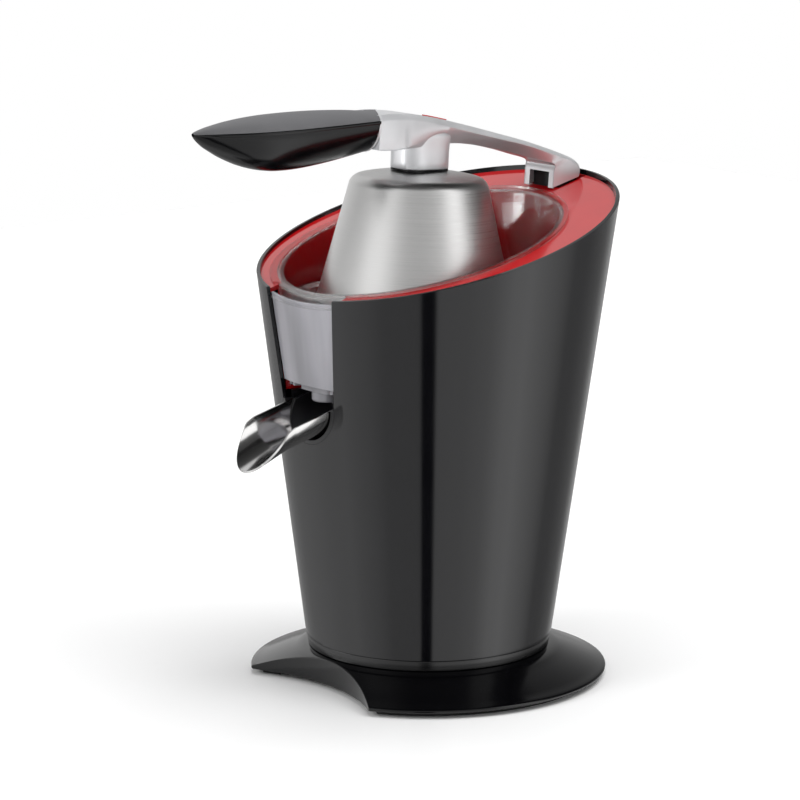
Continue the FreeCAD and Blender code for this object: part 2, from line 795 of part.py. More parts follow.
def grip_section(y, half, low):
    """Half-round section of the grip's lower shell."""
    left = Vec(-half, y, grip_seam_z)
    right = Vec(half, y, grip_seam_z)
    depth = grip_seam_z - low
    points = []
    for angle in (0, 30, 60, 90, 120, 150, 180):
        swing = math.radians(angle)
        points.append(Vec(half * math.cos(swing), y, grip_seam_z - depth * math.sin(swing)))
    return Part.Wire([curve(points), line(left, right)])


def grip_crown(y, half, high):
    """Shallow arched section of the grip's upper shell."""
    left = Vec(-half, y, grip_seam_z)
    right = Vec(half, y, grip_seam_z)
    arc = Part.Arc(right, Vec(0, y, high), left).toShape()
    return Part.Wire([arc, line(left, right)])


# (y, half width, lowest z, highest z) along the grip, from the arm to the tip
grip_stations = [(grip_rear_y, 17.2, 314.4, 336.2), (-66, 18.8, 311.6, 338.3),
                 (-90, 20.2, 308.9, 339.4), (-112, 20.4, 307.6, 339.5), (-128, 18.4, 310.8, 338.9),
                 (-142, 14.4, 314.8, 337.6), (-153, 9.4, 320.0, 335.9), (-160, 5.2, 325.0, 334.4),
                 (grip_front_y, 1.4, 330.8, 333.0)]


def grip_lower():
    """Glossy lower shell of the grip."""
    sections = [grip_section(y, half, low) for y, half, low, high in grip_stations]
    return Part.makeLoft(sections, True, True).cut(tang(0.15)).cut(grip_screws())


def grip_upper():
    """Soft upper shell of the grip."""
    sections = [grip_crown(y, half, high) for y, half, low, high in grip_stations]
    return Part.makeLoft(sections, True, True)


def grip_screws():
    """Two screws up through the grip into the arm's tongue."""
    screws = []
    for y in (-70, -112):
        screws.append(cyl(1.5, 317, 324, 0, y).fuse(cyl(3.0, 315, 317, 0, y)))
    return Part.makeCompound(screws)


# ---------------------------------------------------------------- spout
def spout_half_pipe(shrink, reach):
    """Solid of the spout's channel, level with its top edges, made smaller by shrink."""
    wide = spout_half - shrink
    deep = spout_depth - shrink
    ellipse = Part.Ellipse(Vec(0, 0, 0), wide, deep)
    face = Part.Face(Part.Wire(ellipse.toShape()))
    pipe = face.extrude(Vec(0, 0, reach))
    pipe.rotate(Vec(0, 0, 0), X_AXIS, 90)
    pipe.rotate(Vec(0, 0, 0), X_AXIS, spout_slope_deg)
    pipe.translate(Vec(0, spout_pin_y + 4, 178.9))
    return pipe


def spout_side_cut():
    """What is left under the spout's top edges, with the rounded drop at the nose."""
    rear = spout_pin_y + 4
    slope = math.tan(math.radians(spout_slope_deg))
    bend_y = -111.0
    bend_z = 178.9 - (rear - bend_y) * slope
    edges = [line(yz(rear, 178.9), yz(bend_y, bend_z)),
             curve([yz(bend_y, bend_z), yz(-120.5, bend_z - 5.0), yz(-129, bend_z - 12.5),
                    yz(-138, bend_z - 24)]),
             line(yz(-138, bend_z - 24), yz(-138, 120)), line(yz(-138, 120), yz(rear, 120)),
             line(yz(rear, 120), yz(rear, 178.9))]
    return extruded_yz(edges, 40)


def spout_nose_plan():
    """Plan of the spout with its rounded nose."""
    middle = -110.0
    nose = Part.Ellipse(Vec(0, spout_nose_y, 100), Vec(spout_half + 1.5, middle, 100),
                        Vec(0, middle, 100))
    plan = Part.Face(Part.Wire(nose.toShape())).extrude(Vec(0, 0, 120))
    return plan.fuse(block(-30, 30, middle, -40, 100, 220))


def spout_shell(outer, inner):
    """Channel between two shrinks, trimmed to the spout's outline."""
    shell = spout_half_pipe(outer, 90).cut(spout_half_pipe(inner, 100))
    shell = shell.common(spout_side_cut()).common(spout_nose_plan())
    return shell.cut(cross_cyl(1.55, 40, spout_pin_y, spout_pin_z))


def spout():
    """Polished steel pouring channel."""
    return spout_shell(0, spout_wall)


def spout_carrier():
    """Black liner of the spout's rear end, which turns on the pin."""
    liner = spout_shell(spout_wall, spout_wall + 1.5)
    return liner.common(block(-40, 40, -90, -40, 100, 220))


def spout_pin():
    """Pin of the spout."""
    return cross_cyl(1.5, 23.9, spout_pin_y, spout_pin_z)


PIECES = {
    "foot_ring": foot_ring, "base_disc": base_disc, "base_plate": base_plate,
    "base_screws": base_screws, "cord_inlet": cord_inlet, "body_shell": body_shell,
    "trim_band": trim_band, "spout_bezel": spout_bezel, "spout_chamber": spout_chamber,
    "red_deck": red_deck, "hinge_pedestal": hinge_pedestal, "pedestal_screws": pedestal_screws,
    "hinge_pin": hinge_pin, "juice_bowl": juice_bowl, "strainer": strainer,
    "strainer_ring": strainer_ring, "juicing_cone": juicing_cone, "drive_shaft": drive_shaft,
    "output_gear": output_gear, "idler_gear": idler_gear, "idler_pin": idler_pin,
    "motor_pinion": motor_pinion, "switch_yoke": switch_yoke, "yoke_spring": yoke_spring,
    "shaft_bushes": shaft_bushes, "shaft_seal": shaft_seal, "gearbox_housing": gearbox_housing,
    "gearbox_cover": gearbox_cover, "gearbox_screws": gearbox_screws, "micro_switch": micro_switch,
    "motor_frame": motor_frame, "motor_can": motor_can, "motor_bell": motor_bell, "stator": stator,
    "rotor_core": rotor_core, "motor_shaft": motor_shaft, "motor_bushes": motor_bushes,
    "terminal_block": terminal_block, "lever_arm": lever_arm, "lever_neck": lever_neck,
    "press_dome": press_dome, "dome_hub": dome_hub, "press_cup": press_cup,
    "release_button": release_button, "button_spring": button_spring, "grip_lower": grip_lower,
    "grip_upper": grip_upper, "grip_screws": grip_screws, "spout": spout,
    "spout_carrier": spout_carrier, "spout_pin": spout_pin,
}

os.makedirs(OUT, exist_ok=True)
for name, build in PIECES.items():
    piece = build()
    save(name, piece)
    box = piece.BoundBox
    print(f"{name:16s} solids {len(piece.Solids)} valid {piece.isValid()} volume {piece.Volume:10.1f} "
          f"x {box.XMin:7.1f} {box.XMax:7.1f} y {box.YMin:7.1f} {box.YMax:7.1f} "
          f"z {box.ZMin:6.1f} {box.ZMax:6.1f}")
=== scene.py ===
"""Studio scene of a lever citrus press juicer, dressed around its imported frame.

Sizes in the classes are millimetres in the frame's own axes: Z up, the spout towards -Y,
the lever's hinge towards +Y.  Meshes are laid in metres.
"""
import logging
import math
from dataclasses import dataclass
from enum import Enum
from typing import Callable, Sequence

import bmesh
import bpy
from mathutils import Matrix, Vector


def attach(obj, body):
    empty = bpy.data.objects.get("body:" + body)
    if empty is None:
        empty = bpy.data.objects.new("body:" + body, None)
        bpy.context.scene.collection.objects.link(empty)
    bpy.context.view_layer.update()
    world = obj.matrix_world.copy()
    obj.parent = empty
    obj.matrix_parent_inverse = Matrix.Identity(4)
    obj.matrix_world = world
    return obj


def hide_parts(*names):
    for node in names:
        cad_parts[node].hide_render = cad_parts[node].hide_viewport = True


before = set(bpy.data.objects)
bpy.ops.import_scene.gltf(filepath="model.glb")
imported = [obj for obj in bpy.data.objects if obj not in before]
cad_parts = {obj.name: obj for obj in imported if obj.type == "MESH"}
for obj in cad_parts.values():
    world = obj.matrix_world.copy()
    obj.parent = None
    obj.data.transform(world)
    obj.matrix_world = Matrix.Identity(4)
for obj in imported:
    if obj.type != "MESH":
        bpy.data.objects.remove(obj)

log = logging.getLogger("juicer")
MM = 0.001
MERGE_DISTANCE = 2e-6
SHARP_ANGLE = math.radians(32)
PATTERN_LOW, PATTERN_HIGH = 0.3, 0.7
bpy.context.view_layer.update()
Place = tuple[float, float, float]
Colour = tuple[float, float, float]
Mesh = bmesh.types.BMesh


# ------------------------------------------------------------------ mesh tools
def warped_grid(columns: int, rows: int, place: Callable[[int, int], Place]) -> Mesh:
    """Lay a flat grid over a surface.

    Args:
        columns: faces across the grid.
        rows: faces up the grid.
        place: gives the point in mm for a column and a row.

    Returns:
        The mesh, with its doubles merged and a UV map along the columns and rows.
    """
    bm = bmesh.new()
    bmesh.ops.create_grid(bm, x_segments=columns, y_segments=rows, size=1.0)
    layer = bm.loops.layers.uv.new("UVMap")
    steps = {v: (round((v.co.x + 1) / 2 * columns), round((v.co.y + 1) / 2 * rows)) for v in bm.verts}
    for face in bm.faces:
        for loop in face.loops:
            column, row = steps[loop.vert]
            loop[layer].uv = (column / columns, row / rows)
    for vert, (column, row) in steps.items():
        vert.co = Vector(place(column, row)) * MM
    bmesh.ops.remove_doubles(bm, verts=bm.verts, dist=MERGE_DISTANCE)
    return bm


def capped(bm: Mesh) -> Mesh:
    """Fill the open ends of a mesh and turn its faces outwards."""
    bmesh.ops.holes_fill(bm, edges=bm.edges, sides=0)
    bmesh.ops.recalc_face_normals(bm, faces=bm.faces)
    return bm


def turned(profile: Sequence[tuple[float, float]], y: float = 0.0, steps: int = 96) -> Mesh:
    """Spin a closed outline round an upright axis.

    Args:
        profile: (radius, height) points in mm.
        y: the axis's place along Y in mm.
        steps: segments round the axis.

    Returns:
        The closed mesh.
    """
    bm = bmesh.new()
    verts = [bm.verts.new(Vector((r, y, z)) * MM) for r, z in profile]
    edges = [bm.edges.new((a, b)) for a, b in zip(verts, verts[1:] + verts[:1])]
    bmesh.ops.spin(bm, geom=verts + edges, cent=Vector((0, y, 0)) * MM, axis=(0, 0, 1),
                   angle=math.tau, steps=steps, use_merge=True, use_duplicate=False)
    bmesh.ops.remove_doubles(bm, verts=bm.verts, dist=MERGE_DISTANCE)
    bmesh.ops.recalc_face_normals(bm, faces=bm.faces)
    return bm


def block(low: Place, high: Place) -> Mesh:
    """Rectangular block between two corners in mm."""
    bm = bmesh.new()
    bmesh.ops.create_cube(bm, size=1.0)
    size = [(b - a) * MM for a, b in zip(low, high)]
    middle = [(a + b) / 2 * MM for a, b in zip(low, high)]
    bmesh.ops.scale(bm, vec=size, verts=bm.verts)
    bmesh.ops.translate(bm, vec=middle, verts=bm.verts)
    return bm


def rod_x(radius: float, half: float, y: float, z: float) -> Mesh:
    """Round rod along X in mm, centred on the YZ plane."""
    bm = bmesh.new()
    bmesh.ops.create_cone(bm, cap_ends=True, segments=64, radius1=radius * MM, radius2=radius * MM,
                          depth=2 * half * MM, matrix=Matrix.Rotation(math.pi / 2, 4, "Y"))
    bmesh.ops.translate(bm, vec=Vector((0, y, z)) * MM, verts=bm.verts)
    return bm


def linked(bm: Mesh, name: str) -> bpy.types.Object:
    """Link a mesh into the scene as an object and free it."""
    mesh = bpy.data.meshes.new(name)
    bm.to_mesh(mesh)
    bm.free()
    piece = bpy.data.objects.new(name, mesh)
    bpy.context.collection.objects.link(piece)
    return piece


def around(phi: float, reach: float, z: float, y: float = 0.0) -> Place:
    """Point round an upright axis at y, by its angle from the front towards +X."""
    return (reach * math.sin(phi), y - reach * math.cos(phi), z)


def between(a: float, b: float, share: float) -> float:
    """Value at a share of the way from a to b."""
    return a + (b - a) * share


def broken_line(points: Sequence[tuple[float, float]], at: float) -> float:
    """Height of a line through (place, height) points, sorted by place."""
    if at <= points[0][0]:
        return points[0][1]
    for (x0, z0), (x1, z1) in zip(points, points[1:]):
        if at <= x1:
            return between(z0, z1, (at - x0) / (x1 - x0))
    return points[-1][1]


def flowing(knots: Sequence[Sequence[float]], steps: int) -> list[tuple[float, ...]]:
    """Smooth run of values through knots, with the same number of steps in every gap.

    Args:
        knots: rows of values to pass through.
        steps: steps between one knot and the next.

    Returns:
        Rows of values, (len(knots) - 1) * steps + 1 of them.
    """
    ends = [knots[0], *knots, knots[-1]]
    rows = []
    for index in range(1, len(ends) - 2):
        before, start, end, after = ends[index - 1:index + 3]
        for step in range(steps):
            t = step / steps
            rows.append(tuple(
                0.5 * (2 * b + (c - a) * t + (2 * a - 5 * b + 4 * c - d) * t ** 2
                       + (3 * b - a - 3 * c + d) * t ** 3)
                for a, b, c, d in zip(before, start, end, after)))
    rows.append(tuple(knots[-1]))
    return rows


# ------------------------------------------------------------------ finishes
def add_node(nodes: bpy.types.Nodes, kind: str, **values: object) -> bpy.types.Node:
    """Add a shader node and set its sockets; underscores stand for spaces."""
    node = nodes.new(f"ShaderNode{kind}")
    for key, value in values.items():
        node.inputs[key.replace("_", " ")].default_value = value
    return node


class Recipe:
    """One node material under construction, around its Principled shader."""

    def __init__(self, name: str) -> None:
        """Start a material with that name."""
        self.material = bpy.data.materials.new(name)
        self.material.use_nodes = True
        self.nodes = self.material.node_tree.nodes
        self.links = self.material.node_tree.links
        self.shader = self.nodes["Principled BSDF"]

    def constants(self, **values: object) -> None:
        """Set the shader's own sockets; underscores stand for spaces."""
        for key, value in values.items():
            self.shader.inputs[key.replace("_", " ")].default_value = value

    def grain(self, scale: Place, size: float, detail: float = 3.0, on_uv: bool = False) -> object:
        """Stretched noise.

        Args:
            scale: stretch of the pattern along each axis.
            size: the noise's scale.
            detail: octaves of the noise.
            on_uv: follow the piece's own UV map and not its place.

        Returns:
            The noise's value socket.
        """
        coords = add_node(self.nodes, "TexCoord")
        mapping = add_node(self.nodes, "Mapping", Scale=scale)
        self.links.new(coords.outputs["UV" if on_uv else "Object"], mapping.inputs["Vector"])
        noise = add_node(self.nodes, "TexNoise", Scale=size, Detail=detail)
        self.links.new(mapping.outputs["Vector"], noise.inputs["Vector"])
        return noise.outputs["Fac"]

    def spread(self, source: object, low: float, high: float, target: str) -> None:
        """Lead a pattern to a shader socket, mapped between two values."""
        ranged = add_node(self.nodes, "MapRange", From_Min=PATTERN_LOW, From_Max=PATTERN_HIGH,
                          To_Min=low, To_Max=high)
        self.links.new(source, ranged.inputs["Value"])
        self.links.new(ranged.outputs["Result"], self.shader.inputs[target])

    def tint(self, source: object, dark: Colour, light: Colour) -> None:
        """Let a pattern vary the colour between two tones."""
        ramp = add_node(self.nodes, "ValToRGB")
        ends = ((PATTERN_LOW, dark), (PATTERN_HIGH, light))
        for element, (at, colour) in zip(ramp.color_ramp.elements, ends):
            element.position = at
            element.color = (*colour, 1.0)
        self.links.new(source, ramp.inputs["Fac"])
        self.links.new(ramp.outputs["Color"], self.shader.inputs["Base Color"])

    def relief(self, source: object, strength: float, depth_mm: float) -> None:
        """Let a pattern raise the surface a little."""
        bump = add_node(self.nodes, "Bump", Strength=strength, Distance=depth_mm * MM)
        self.links.new(source, bump.inputs["Height"])
        self.links.new(bump.outputs["Normal"], self.shader.inputs["Normal"])

    def brush_direction(self) -> None:
        """Turn the highlights along the piece's own UV map."""
        tangent = add_node(self.nodes, "Tangent")
        tangent.direction_type = "UV_MAP"
        tangent.uv_map = "UVMap"
        self.links.new(tangent.outputs["Tangent"], self.shader.inputs["Tangent"])


def shaded(colour: Colour, factor: float) -> Colour:
    """A colour made darker or lighter."""
    return tuple(min(1.0, c * factor) for c in colour)


@dataclass(frozen=True)
class Moulding:
    """Moulded plastic or rubber: flow marks in the gloss and a fine skin texture."""

    name: str
    colour: Colour
    roughness: float
    variation: float = 0.12
    skin: float = 0.02
    skin_size: float = 900.0
    coat: float = 0.0
    specular: float = 0.5

    def material(self) -> bpy.types.Material:
        """Make the node material."""
        recipe = Recipe(self.name)
        recipe.constants(Coat_Weight=self.coat, Coat_Roughness=0.04, Specular_IOR_Level=self.specular)
        cloud = recipe.grain((1, 1, 1), 28.0)
        recipe.tint(cloud, shaded(self.colour, 1 - self.variation),
                    shaded(self.colour, 1 + self.variation))
        recipe.spread(cloud, self.roughness * 0.85, self.roughness * 1.2, "Roughness")
        recipe.relief(recipe.grain((1, 1, 1), self.skin_size, 2.0), self.skin, 0.1)
        return recipe.material


class Brush(Enum):
    """Which way a metal piece was brushed on its own UV map."""

    AROUND = (2.0, 1500.0, 1.0)
    ALONG = (260.0, 4.0, 1.0)


@dataclass(frozen=True)
class BrushedSteel:
    """Sheet steel with fine brushed lines and a stretched highlight."""

    name: str
    colour: Colour
    roughness: float
    brush: Brush
    anisotropy: float = 0.55
    lines: float = 0.12

    def material(self) -> bpy.types.Material:
        """Make the node material."""
        recipe = Recipe(self.name)
        recipe.constants(Metallic=1.0, Anisotropic=self.anisotropy)
        fine = recipe.grain(self.brush.value, 1.0, 6.0, on_uv=True)
        recipe.tint(fine, shaded(self.colour, 0.9), shaded(self.colour, 1.06))
        recipe.spread(fine, self.roughness * 0.75, self.roughness * 1.3, "Roughness")
        recipe.relief(fine, self.lines, 0.02)
        recipe.brush_direction()
        return recipe.material


@dataclass(frozen=True)
class CastMetal:
    """Solid metal, bare or satin painted, with a faint cloud and fine grain."""

    name: str
    colour: Colour
    roughness: float
    metallic: float = 1.0
    grain: float = 0.03
    coat: float = 0.0

    def material(self) -> bpy.types.Material:
        """Make the node material."""
        recipe = Recipe(self.name)
        recipe.constants(Metallic=self.metallic, Coat_Weight=self.coat, Coat_Roughness=0.08)
        cloud = recipe.grain((1, 1, 1), 45.0, 4.0)
        recipe.tint(cloud, shaded(self.colour, 0.94), shaded(self.colour, 1.05))
        recipe.spread(cloud, self.roughness * 0.85, self.roughness * 1.2, "Roughness")
        recipe.relief(recipe.grain((1, 1, 1), 1600.0, 2.0), self.grain, 0.05)
        return recipe.material


@dataclass(frozen=True)
class ClearPlastic:
    """Transparent or milky moulding with faint flow lines; on the milky moulding, stronger upright bands of
    painted sheen.
    """

    name: str
    colour: Colour
    roughness: float
    index: float = 1.49
    flow: float = 0.03
    clear: float = 1.0
    body: float = 1.0
    flow_lines_and_sheen: float = 0.03

    def material(self) -> bpy.types.Material:
        """Make the node material."""
        recipe = Recipe(self.name)
        recipe.constants(Transmission_Weight=self.clear, IOR=self.index, Alpha=self.body)
        flow = recipe.grain((1, 1, 0.12), 60.0, 2.0)
        # upright bands of lighter and darker colour: faint flow lines, and on the milky window stronger
        # bands of painted sheen
        recipe.tint(flow, shaded(self.colour, 1 - self.flow_lines_and_sheen), shaded(self.colour, 1 + self.flow_lines_and_sheen))
        recipe.spread(flow, self.roughness * 0.7, self.roughness * 1.4, "Roughness")
        recipe.relief(flow, self.flow, 0.1)
        return recipe.material


@dataclass(frozen=True)
class Winding:
    """Enamelled copper wire, wound in close turns."""

    name: str
    colour: Colour

    def material(self) -> bpy.types.Material:
        """Make the node material."""
        recipe = Recipe(self.name)
        recipe.constants(Metallic=0.9, Roughness=0.35)
        turns = recipe.grain((1, 1, 30), 60.0, 1.0)
        recipe.tint(turns, shaded(self.colour, 0.5), self.colour)
        recipe.relief(turns, 0.5, 0.4)
        return recipe.material


FINISHES = {
    "foot_rubber": Moulding("soft foot rubber", (0.012, 0.012, 0.013), 0.75, skin=0.25, skin_size=1500),
    "base_black": Moulding("polished base plastic", (0.0015, 0.0015, 0.002), 0.12, specular=0.42),
    "inner_black": Moulding("inner black plastic", (0.006, 0.006, 0.007), 0.32, skin=0.06),
    "plain_steel": CastMetal("plain turned steel", (0.55, 0.55, 0.56), 0.28),
    "body_black": Moulding("polished housing plastic", (0.0035, 0.0035, 0.0045), 0.085, skin=0.004),
    "band_black": Moulding("trim band plastic", (0.006, 0.006, 0.0065), 0.2),
    "red_panel": Moulding("red panel plastic", (0.43, 0.006, 0.008), 0.07, variation=0.05, skin=0.006),
    "clear_bowl": ClearPlastic("clear bowl plastic", (0.96, 0.965, 0.97), 0.045, body=0.6),
    # the milky window's strong upright colour bands are painted sheen
    "milky_bowl": ClearPlastic("milky bowl plastic", (0.43, 0.425, 0.46), 0.14, clear=0.4, flow_lines_and_sheen=0.22),
    "smoke_strainer": ClearPlastic("smoked strainer plastic", (0.62, 0.6, 0.6), 0.12),
    "cone_black": Moulding("cone black plastic", (0.012, 0.012, 0.013), 0.25, skin=0.05),
    "gear_nylon": Moulding("natural nylon", (0.75, 0.72, 0.64), 0.45, skin=0.08),
    "brass_bush": CastMetal("sintered bronze", (0.62, 0.42, 0.2), 0.42, grain=0.2),
    "frame_plastic": Moulding("motor mount plastic", (0.05, 0.05, 0.055), 0.5, skin=0.1),
    "winding_copper": Winding("copper winding", (0.62, 0.25, 0.1)),
    "lever_silver": CastMetal("satin lever metal", (0.7, 0.705, 0.72), 0.33, metallic=0.5, grain=0.004),
    "dome_steel": BrushedSteel("brushed dome steel", (0.67, 0.667, 0.662), 0.33, Brush.AROUND,
                               0.5, 0.07),
    "cup_grey": Moulding("press cup plastic", (0.09, 0.09, 0.095), 0.35, skin=0.08),
    "button_red": Moulding("red button plastic", (0.62, 0.01, 0.012), 0.15, skin=0.01),
    "grip_gloss": Moulding("grip gloss plastic", (0.002, 0.002, 0.0025), 0.16, skin=0.01, specular=0.28),
    "grip_soft": Moulding("grip soft skin", (0.11, 0.11, 0.115), 0.5, skin=0.12, skin_size=2200),
    "spout_steel": BrushedSteel("polished spout steel", (0.6, 0.595, 0.59), 0.15, Brush.ALONG,
                                0.3, 0.05),
}
NODES_BY_SLOT = {
    "foot_rubber": "foot_ring cord_inlet shaft_seal",
    "base_black": "base_disc",
    "inner_black": "base_plate spout_bezel spout_chamber hinge_pedestal micro_switch dome_hub "
                   "spout_carrier",
    "plain_steel": "base_screws pedestal_screws hinge_pin drive_shaft idler_pin motor_pinion yoke_spring "
                   "gearbox_screws motor_can motor_bell rotor_core motor_shaft button_spring grip_screws "
                   "spout_pin",
    "body_black": "body_shell",
    "band_black": "trim_band",
    "red_panel": "red_deck",
    "clear_bowl": "juice_bowl",
    "smoke_strainer": "strainer",
    "cone_black": "strainer_ring juicing_cone",
    "gear_nylon": "output_gear idler_gear switch_yoke terminal_block",
    "brass_bush": "shaft_bushes motor_bushes",
    "frame_plastic": "gearbox_housing gearbox_cover motor_frame",
    "winding_copper": "stator",
    "lever_silver": "lever_arm lever_neck",
    "dome_steel": "press_dome",
    "cup_grey": "press_cup",
    "button_red": "release_button",
    "grip_gloss": "grip_lower",
    "grip_soft": "grip_upper",
    "spout_steel": "spout",
}


class Workshop:
    """Makes pieces into objects, gives each its finish and ties it to the frame."""

    def __init__(self) -> None:
        """Mix every finish once."""
        self.materials = {slot: finish.material() for slot, finish in FINISHES.items()}

    def show(self, bm: Mesh, name: str, body: str, slot: str,
             stands_for: Sequence[str] = (), wall: float = 0.0, edge: float = 0.0,
             cuts: Sequence[Mesh] = (), finish: str = "") -> bpy.types.Object:
        """Finish a mesh and place it in the frame.

        Args:
            bm: the mesh; it is freed.
            name: the piece's name.
            body: the frame's body that it rides on.
            slot: the material slot that it takes its finish from.
            stands_for: nodes of the frame that it replaces.
            wall: thickness in mm laid behind its faces.
            edge: radius in mm of its rounded edges.
            cuts: closed meshes taken out of it.
            finish: the finish where it isn't the slot's own.

        Returns:
            The finished object.
        """
        piece = linked(bm, name)
        if wall:
            solidify = piece.modifiers.new("wall", "SOLIDIFY")
            solidify.thickness = wall * MM
            solidify.offset = -1.0
            solidify.use_even_offset = True
        cutters = [linked(cut, f"{name}_cut") for cut in cuts]
        for cutter in cutters:
            boolean = piece.modifiers.new("cut", "BOOLEAN")
            boolean.operation = "DIFFERENCE"
            boolean.solver = "EXACT"
            boolean.object = cutter
        if edge:
            bevel = piece.modifiers.new("edge", "BEVEL")
            bevel.width = edge * MM
            bevel.segments = 3
            bevel.limit_method = "ANGLE"
            bevel.angle_limit = SHARP_ANGLE
            bevel.harden_normals = True
        piece.data.shade_smooth()
        if not edge:
            piece.data.set_sharp_from_angle(angle=SHARP_ANGLE)
        self.settle(piece)
        for cutter in cutters:
            bpy.data.objects.remove(cutter)
        return self.tie(piece, body, stands_for, finish or slot)

    @staticmethod
    def settle(piece: bpy.types.Object) -> None:
        """Write an object's modifiers into its mesh."""
        if not piece.modifiers:
            return
        ready = piece.evaluated_get(bpy.context.evaluated_depsgraph_get())
        mesh = bpy.data.meshes.new_from_object(ready)
        piece.modifiers.clear()
        piece.data = mesh

    def tie(self, piece: bpy.types.Object, body: str, stands_for: Sequence[str],
            finish: str) -> bpy.types.Object:
        """Give a piece its finish, its body and the nodes that it stands for."""
        piece.data.materials.clear()
        piece.data.materials.append(self.materials[finish])
        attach(piece, body)
        if stands_for:
            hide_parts(*stands_for)
        log.info("%s: %d faces on %s", piece.name, len(piece.data.polygons), body)
        return piece

    def polish(self, node: str, body: str, slot: str) -> bpy.types.Object:
        """Stand a smooth copy of a frame node in its place.

        Args:
            node: the frame's node.
            body: the body that it rides on.
            slot: the material slot that it takes its finish from.

        Returns:
            The finished object.
        """
        bm = bmesh.new()
        bm.from_mesh(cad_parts[node].data)
        bmesh.ops.remove_doubles(bm, verts=bm.verts, dist=MERGE_DISTANCE)
        return self.show(bm, f"{node}_smooth", body, slot, [node])

    def polish_each(self, body: str, **slots: str) -> None:
        """Polish several nodes of one body, given as node=slot."""
        for node, slot in slots.items():
            self.polish(node, body, slot)

    def dress_frame(self) -> None:
        """Give every node of the frame its own finish."""
        for slot, nodes in NODES_BY_SLOT.items():
            for node in nodes.split():
                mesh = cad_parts[node].data
                mesh.materials.clear()
                mesh.materials.append(self.materials[slot])


# ------------------------------------------------------------------ housing
@dataclass
class Housing:
    """Tapered, slightly leaning body with its slanted rim and front slot."""

    foot_z: float = 18.7
    foot_r: float = 71.7
    taper: float = 0.1373
    lean: float = math.radians(0.72)
    band_top: float = 24.9
    rim_z: float = 260.7
    rim_slope: float = 0.2629
    slot_top_half: float = 33.5
    slot_low_half: float = 24.1
    slot_low_z: float = 172.6
    wall: float = 2.2
    columns: int = 220

    def skin(self, phi: float, z: float, inset: float = 0.0) -> Place:
        """Point of the outer surface.

        Args:
            phi: angle about the axis from the front, towards +X.
            z: height.
            inset: distance moved inwards.

        Returns:
            The point.
        """
        reach = self.foot_r
        rise = z - self.foot_z
        for _ in range(4):
            rise = (z - self.foot_z - reach * math.cos(phi) * math.sin(self.lean)) / math.cos(self.lean)
            reach = self.foot_r + self.taper * rise - inset
        y = -reach * math.cos(phi) * math.cos(self.lean) + rise * math.sin(self.lean)
        return (reach * math.sin(phi), y, z)

    def rim_point(self, phi: float, drop: float, share: float = 1.0, inset: float = 0.0) -> Place:
        """Point of the surface part of the way up from the slot's end to the rim plane."""
        point = self.skin(phi, self.rim_z, inset)
        for _ in range(6):
            top = self.plane(point[1], drop)
            point = self.skin(phi, between(self.slot_low_z, top, share), inset)
        return point

    def plane(self, y: float, drop: float) -> float:
        """Height of the slanted rim plane, lowered by drop."""
        return self.rim_z - drop + self.rim_slope * y

    def slot_half(self, z: float) -> float:
        """Half width of the front slot at a height."""
        if z <= self.slot_low_z - self.slot_low_half:
            return 0.0
        if z < self.slot_low_z:
            return math.sqrt(self.slot_low_half ** 2 - (self.slot_low_z - z) ** 2)
        share = (z - self.slot_low_z) / (self.rim_z - self.slot_low_z)
        return between(self.slot_low_half, self.slot_top_half, share)

    def slot_swept(self, share: float, z: float, reach: float) -> float:
        """Angle at a share of the way round from one edge of the slot to the other."""
        edge = math.asin(min(1.0, self.slot_half(z) / reach))
        return between(edge, math.tau - edge, share)

    def shell(self) -> Mesh:
        """Outer surface of the body from the band to the rim."""
        low = [self.band_top, 45, 70, 95, 120, 138]
        low += [self.slot_low_z - self.slot_low_half * math.cos(math.pi / 2 * k / 12) for k in range(13)]
        high = [k / 10 for k in range(1, 11)]

        def place(column: int, row: int) -> Place:
            share = column / self.columns
            if row < len(low):
                z = low[row]
                reach = self.foot_r + self.taper * (z - self.foot_z)
                return self.skin(self.slot_swept(share, z, reach), z)
            point = self.rim_point(0.0, 0.0, high[row - len(low)])
            for _ in range(4):
                reach = self.foot_r + self.taper * (point[2] - self.foot_z)
                phi = self.slot_swept(share, min(point[2], self.rim_z), reach)
                point = self.rim_point(phi, 0.0, high[row - len(low)])
            return point

        return warped_grid(self.columns, len(low) + len(high) - 1, place)

    def band(self) -> Mesh:
        """Trim band at the foot of the body."""
        heights = [18.3, 18.9, 21.5, 24.2, 24.85]
        insets = [1.0, 0.5, 0.5, 0.5, 0.8]

        def place(column: int, row: int) -> Place:
            return self.skin(math.tau * column / self.columns, heights[row], insets[row])

        return warped_grid(self.columns, len(heights) - 1, place)

    def throat(self) -> Mesh:
        """Black half ring in the slot's round end, flush with the body."""
        columns = 48
        section = [(24.0, 0.1), (21.7, 0.1), (21.7, 5.0), (24.0, 5.0), (24.0, 0.1)]

        def place(column: int, row: int) -> Place:
            turn = math.radians(between(-88.0, 88.0, column / columns))
            reach, inset = section[row]
            x, z = reach * math.sin(turn), self.slot_low_z - reach * math.cos(turn)
            face = self.foot_r + self.taper * (z - self.foot_z)
            return self.skin(math.asin(x / face), z, inset)

        return capped(warped_grid(columns, len(section) - 1, place))

    def build(self, shop: Workshop) -> None:
        """Make the shell, the band and the small parts at the slot and the rear."""
        shop.show(self.shell(), "housing_shell", "stand", "body_black", ["body_shell"], self.wall, 0.6)
        shop.show(self.band(), "housing_band", "stand", "band_black", ["trim_band"], 2.5)
        shop.show(self.throat(), "spout_throat", "stand", "inner_black", ["spout_bezel"])
        shop.polish_each("stand", spout_chamber="inner_black", cord_inlet="foot_rubber")


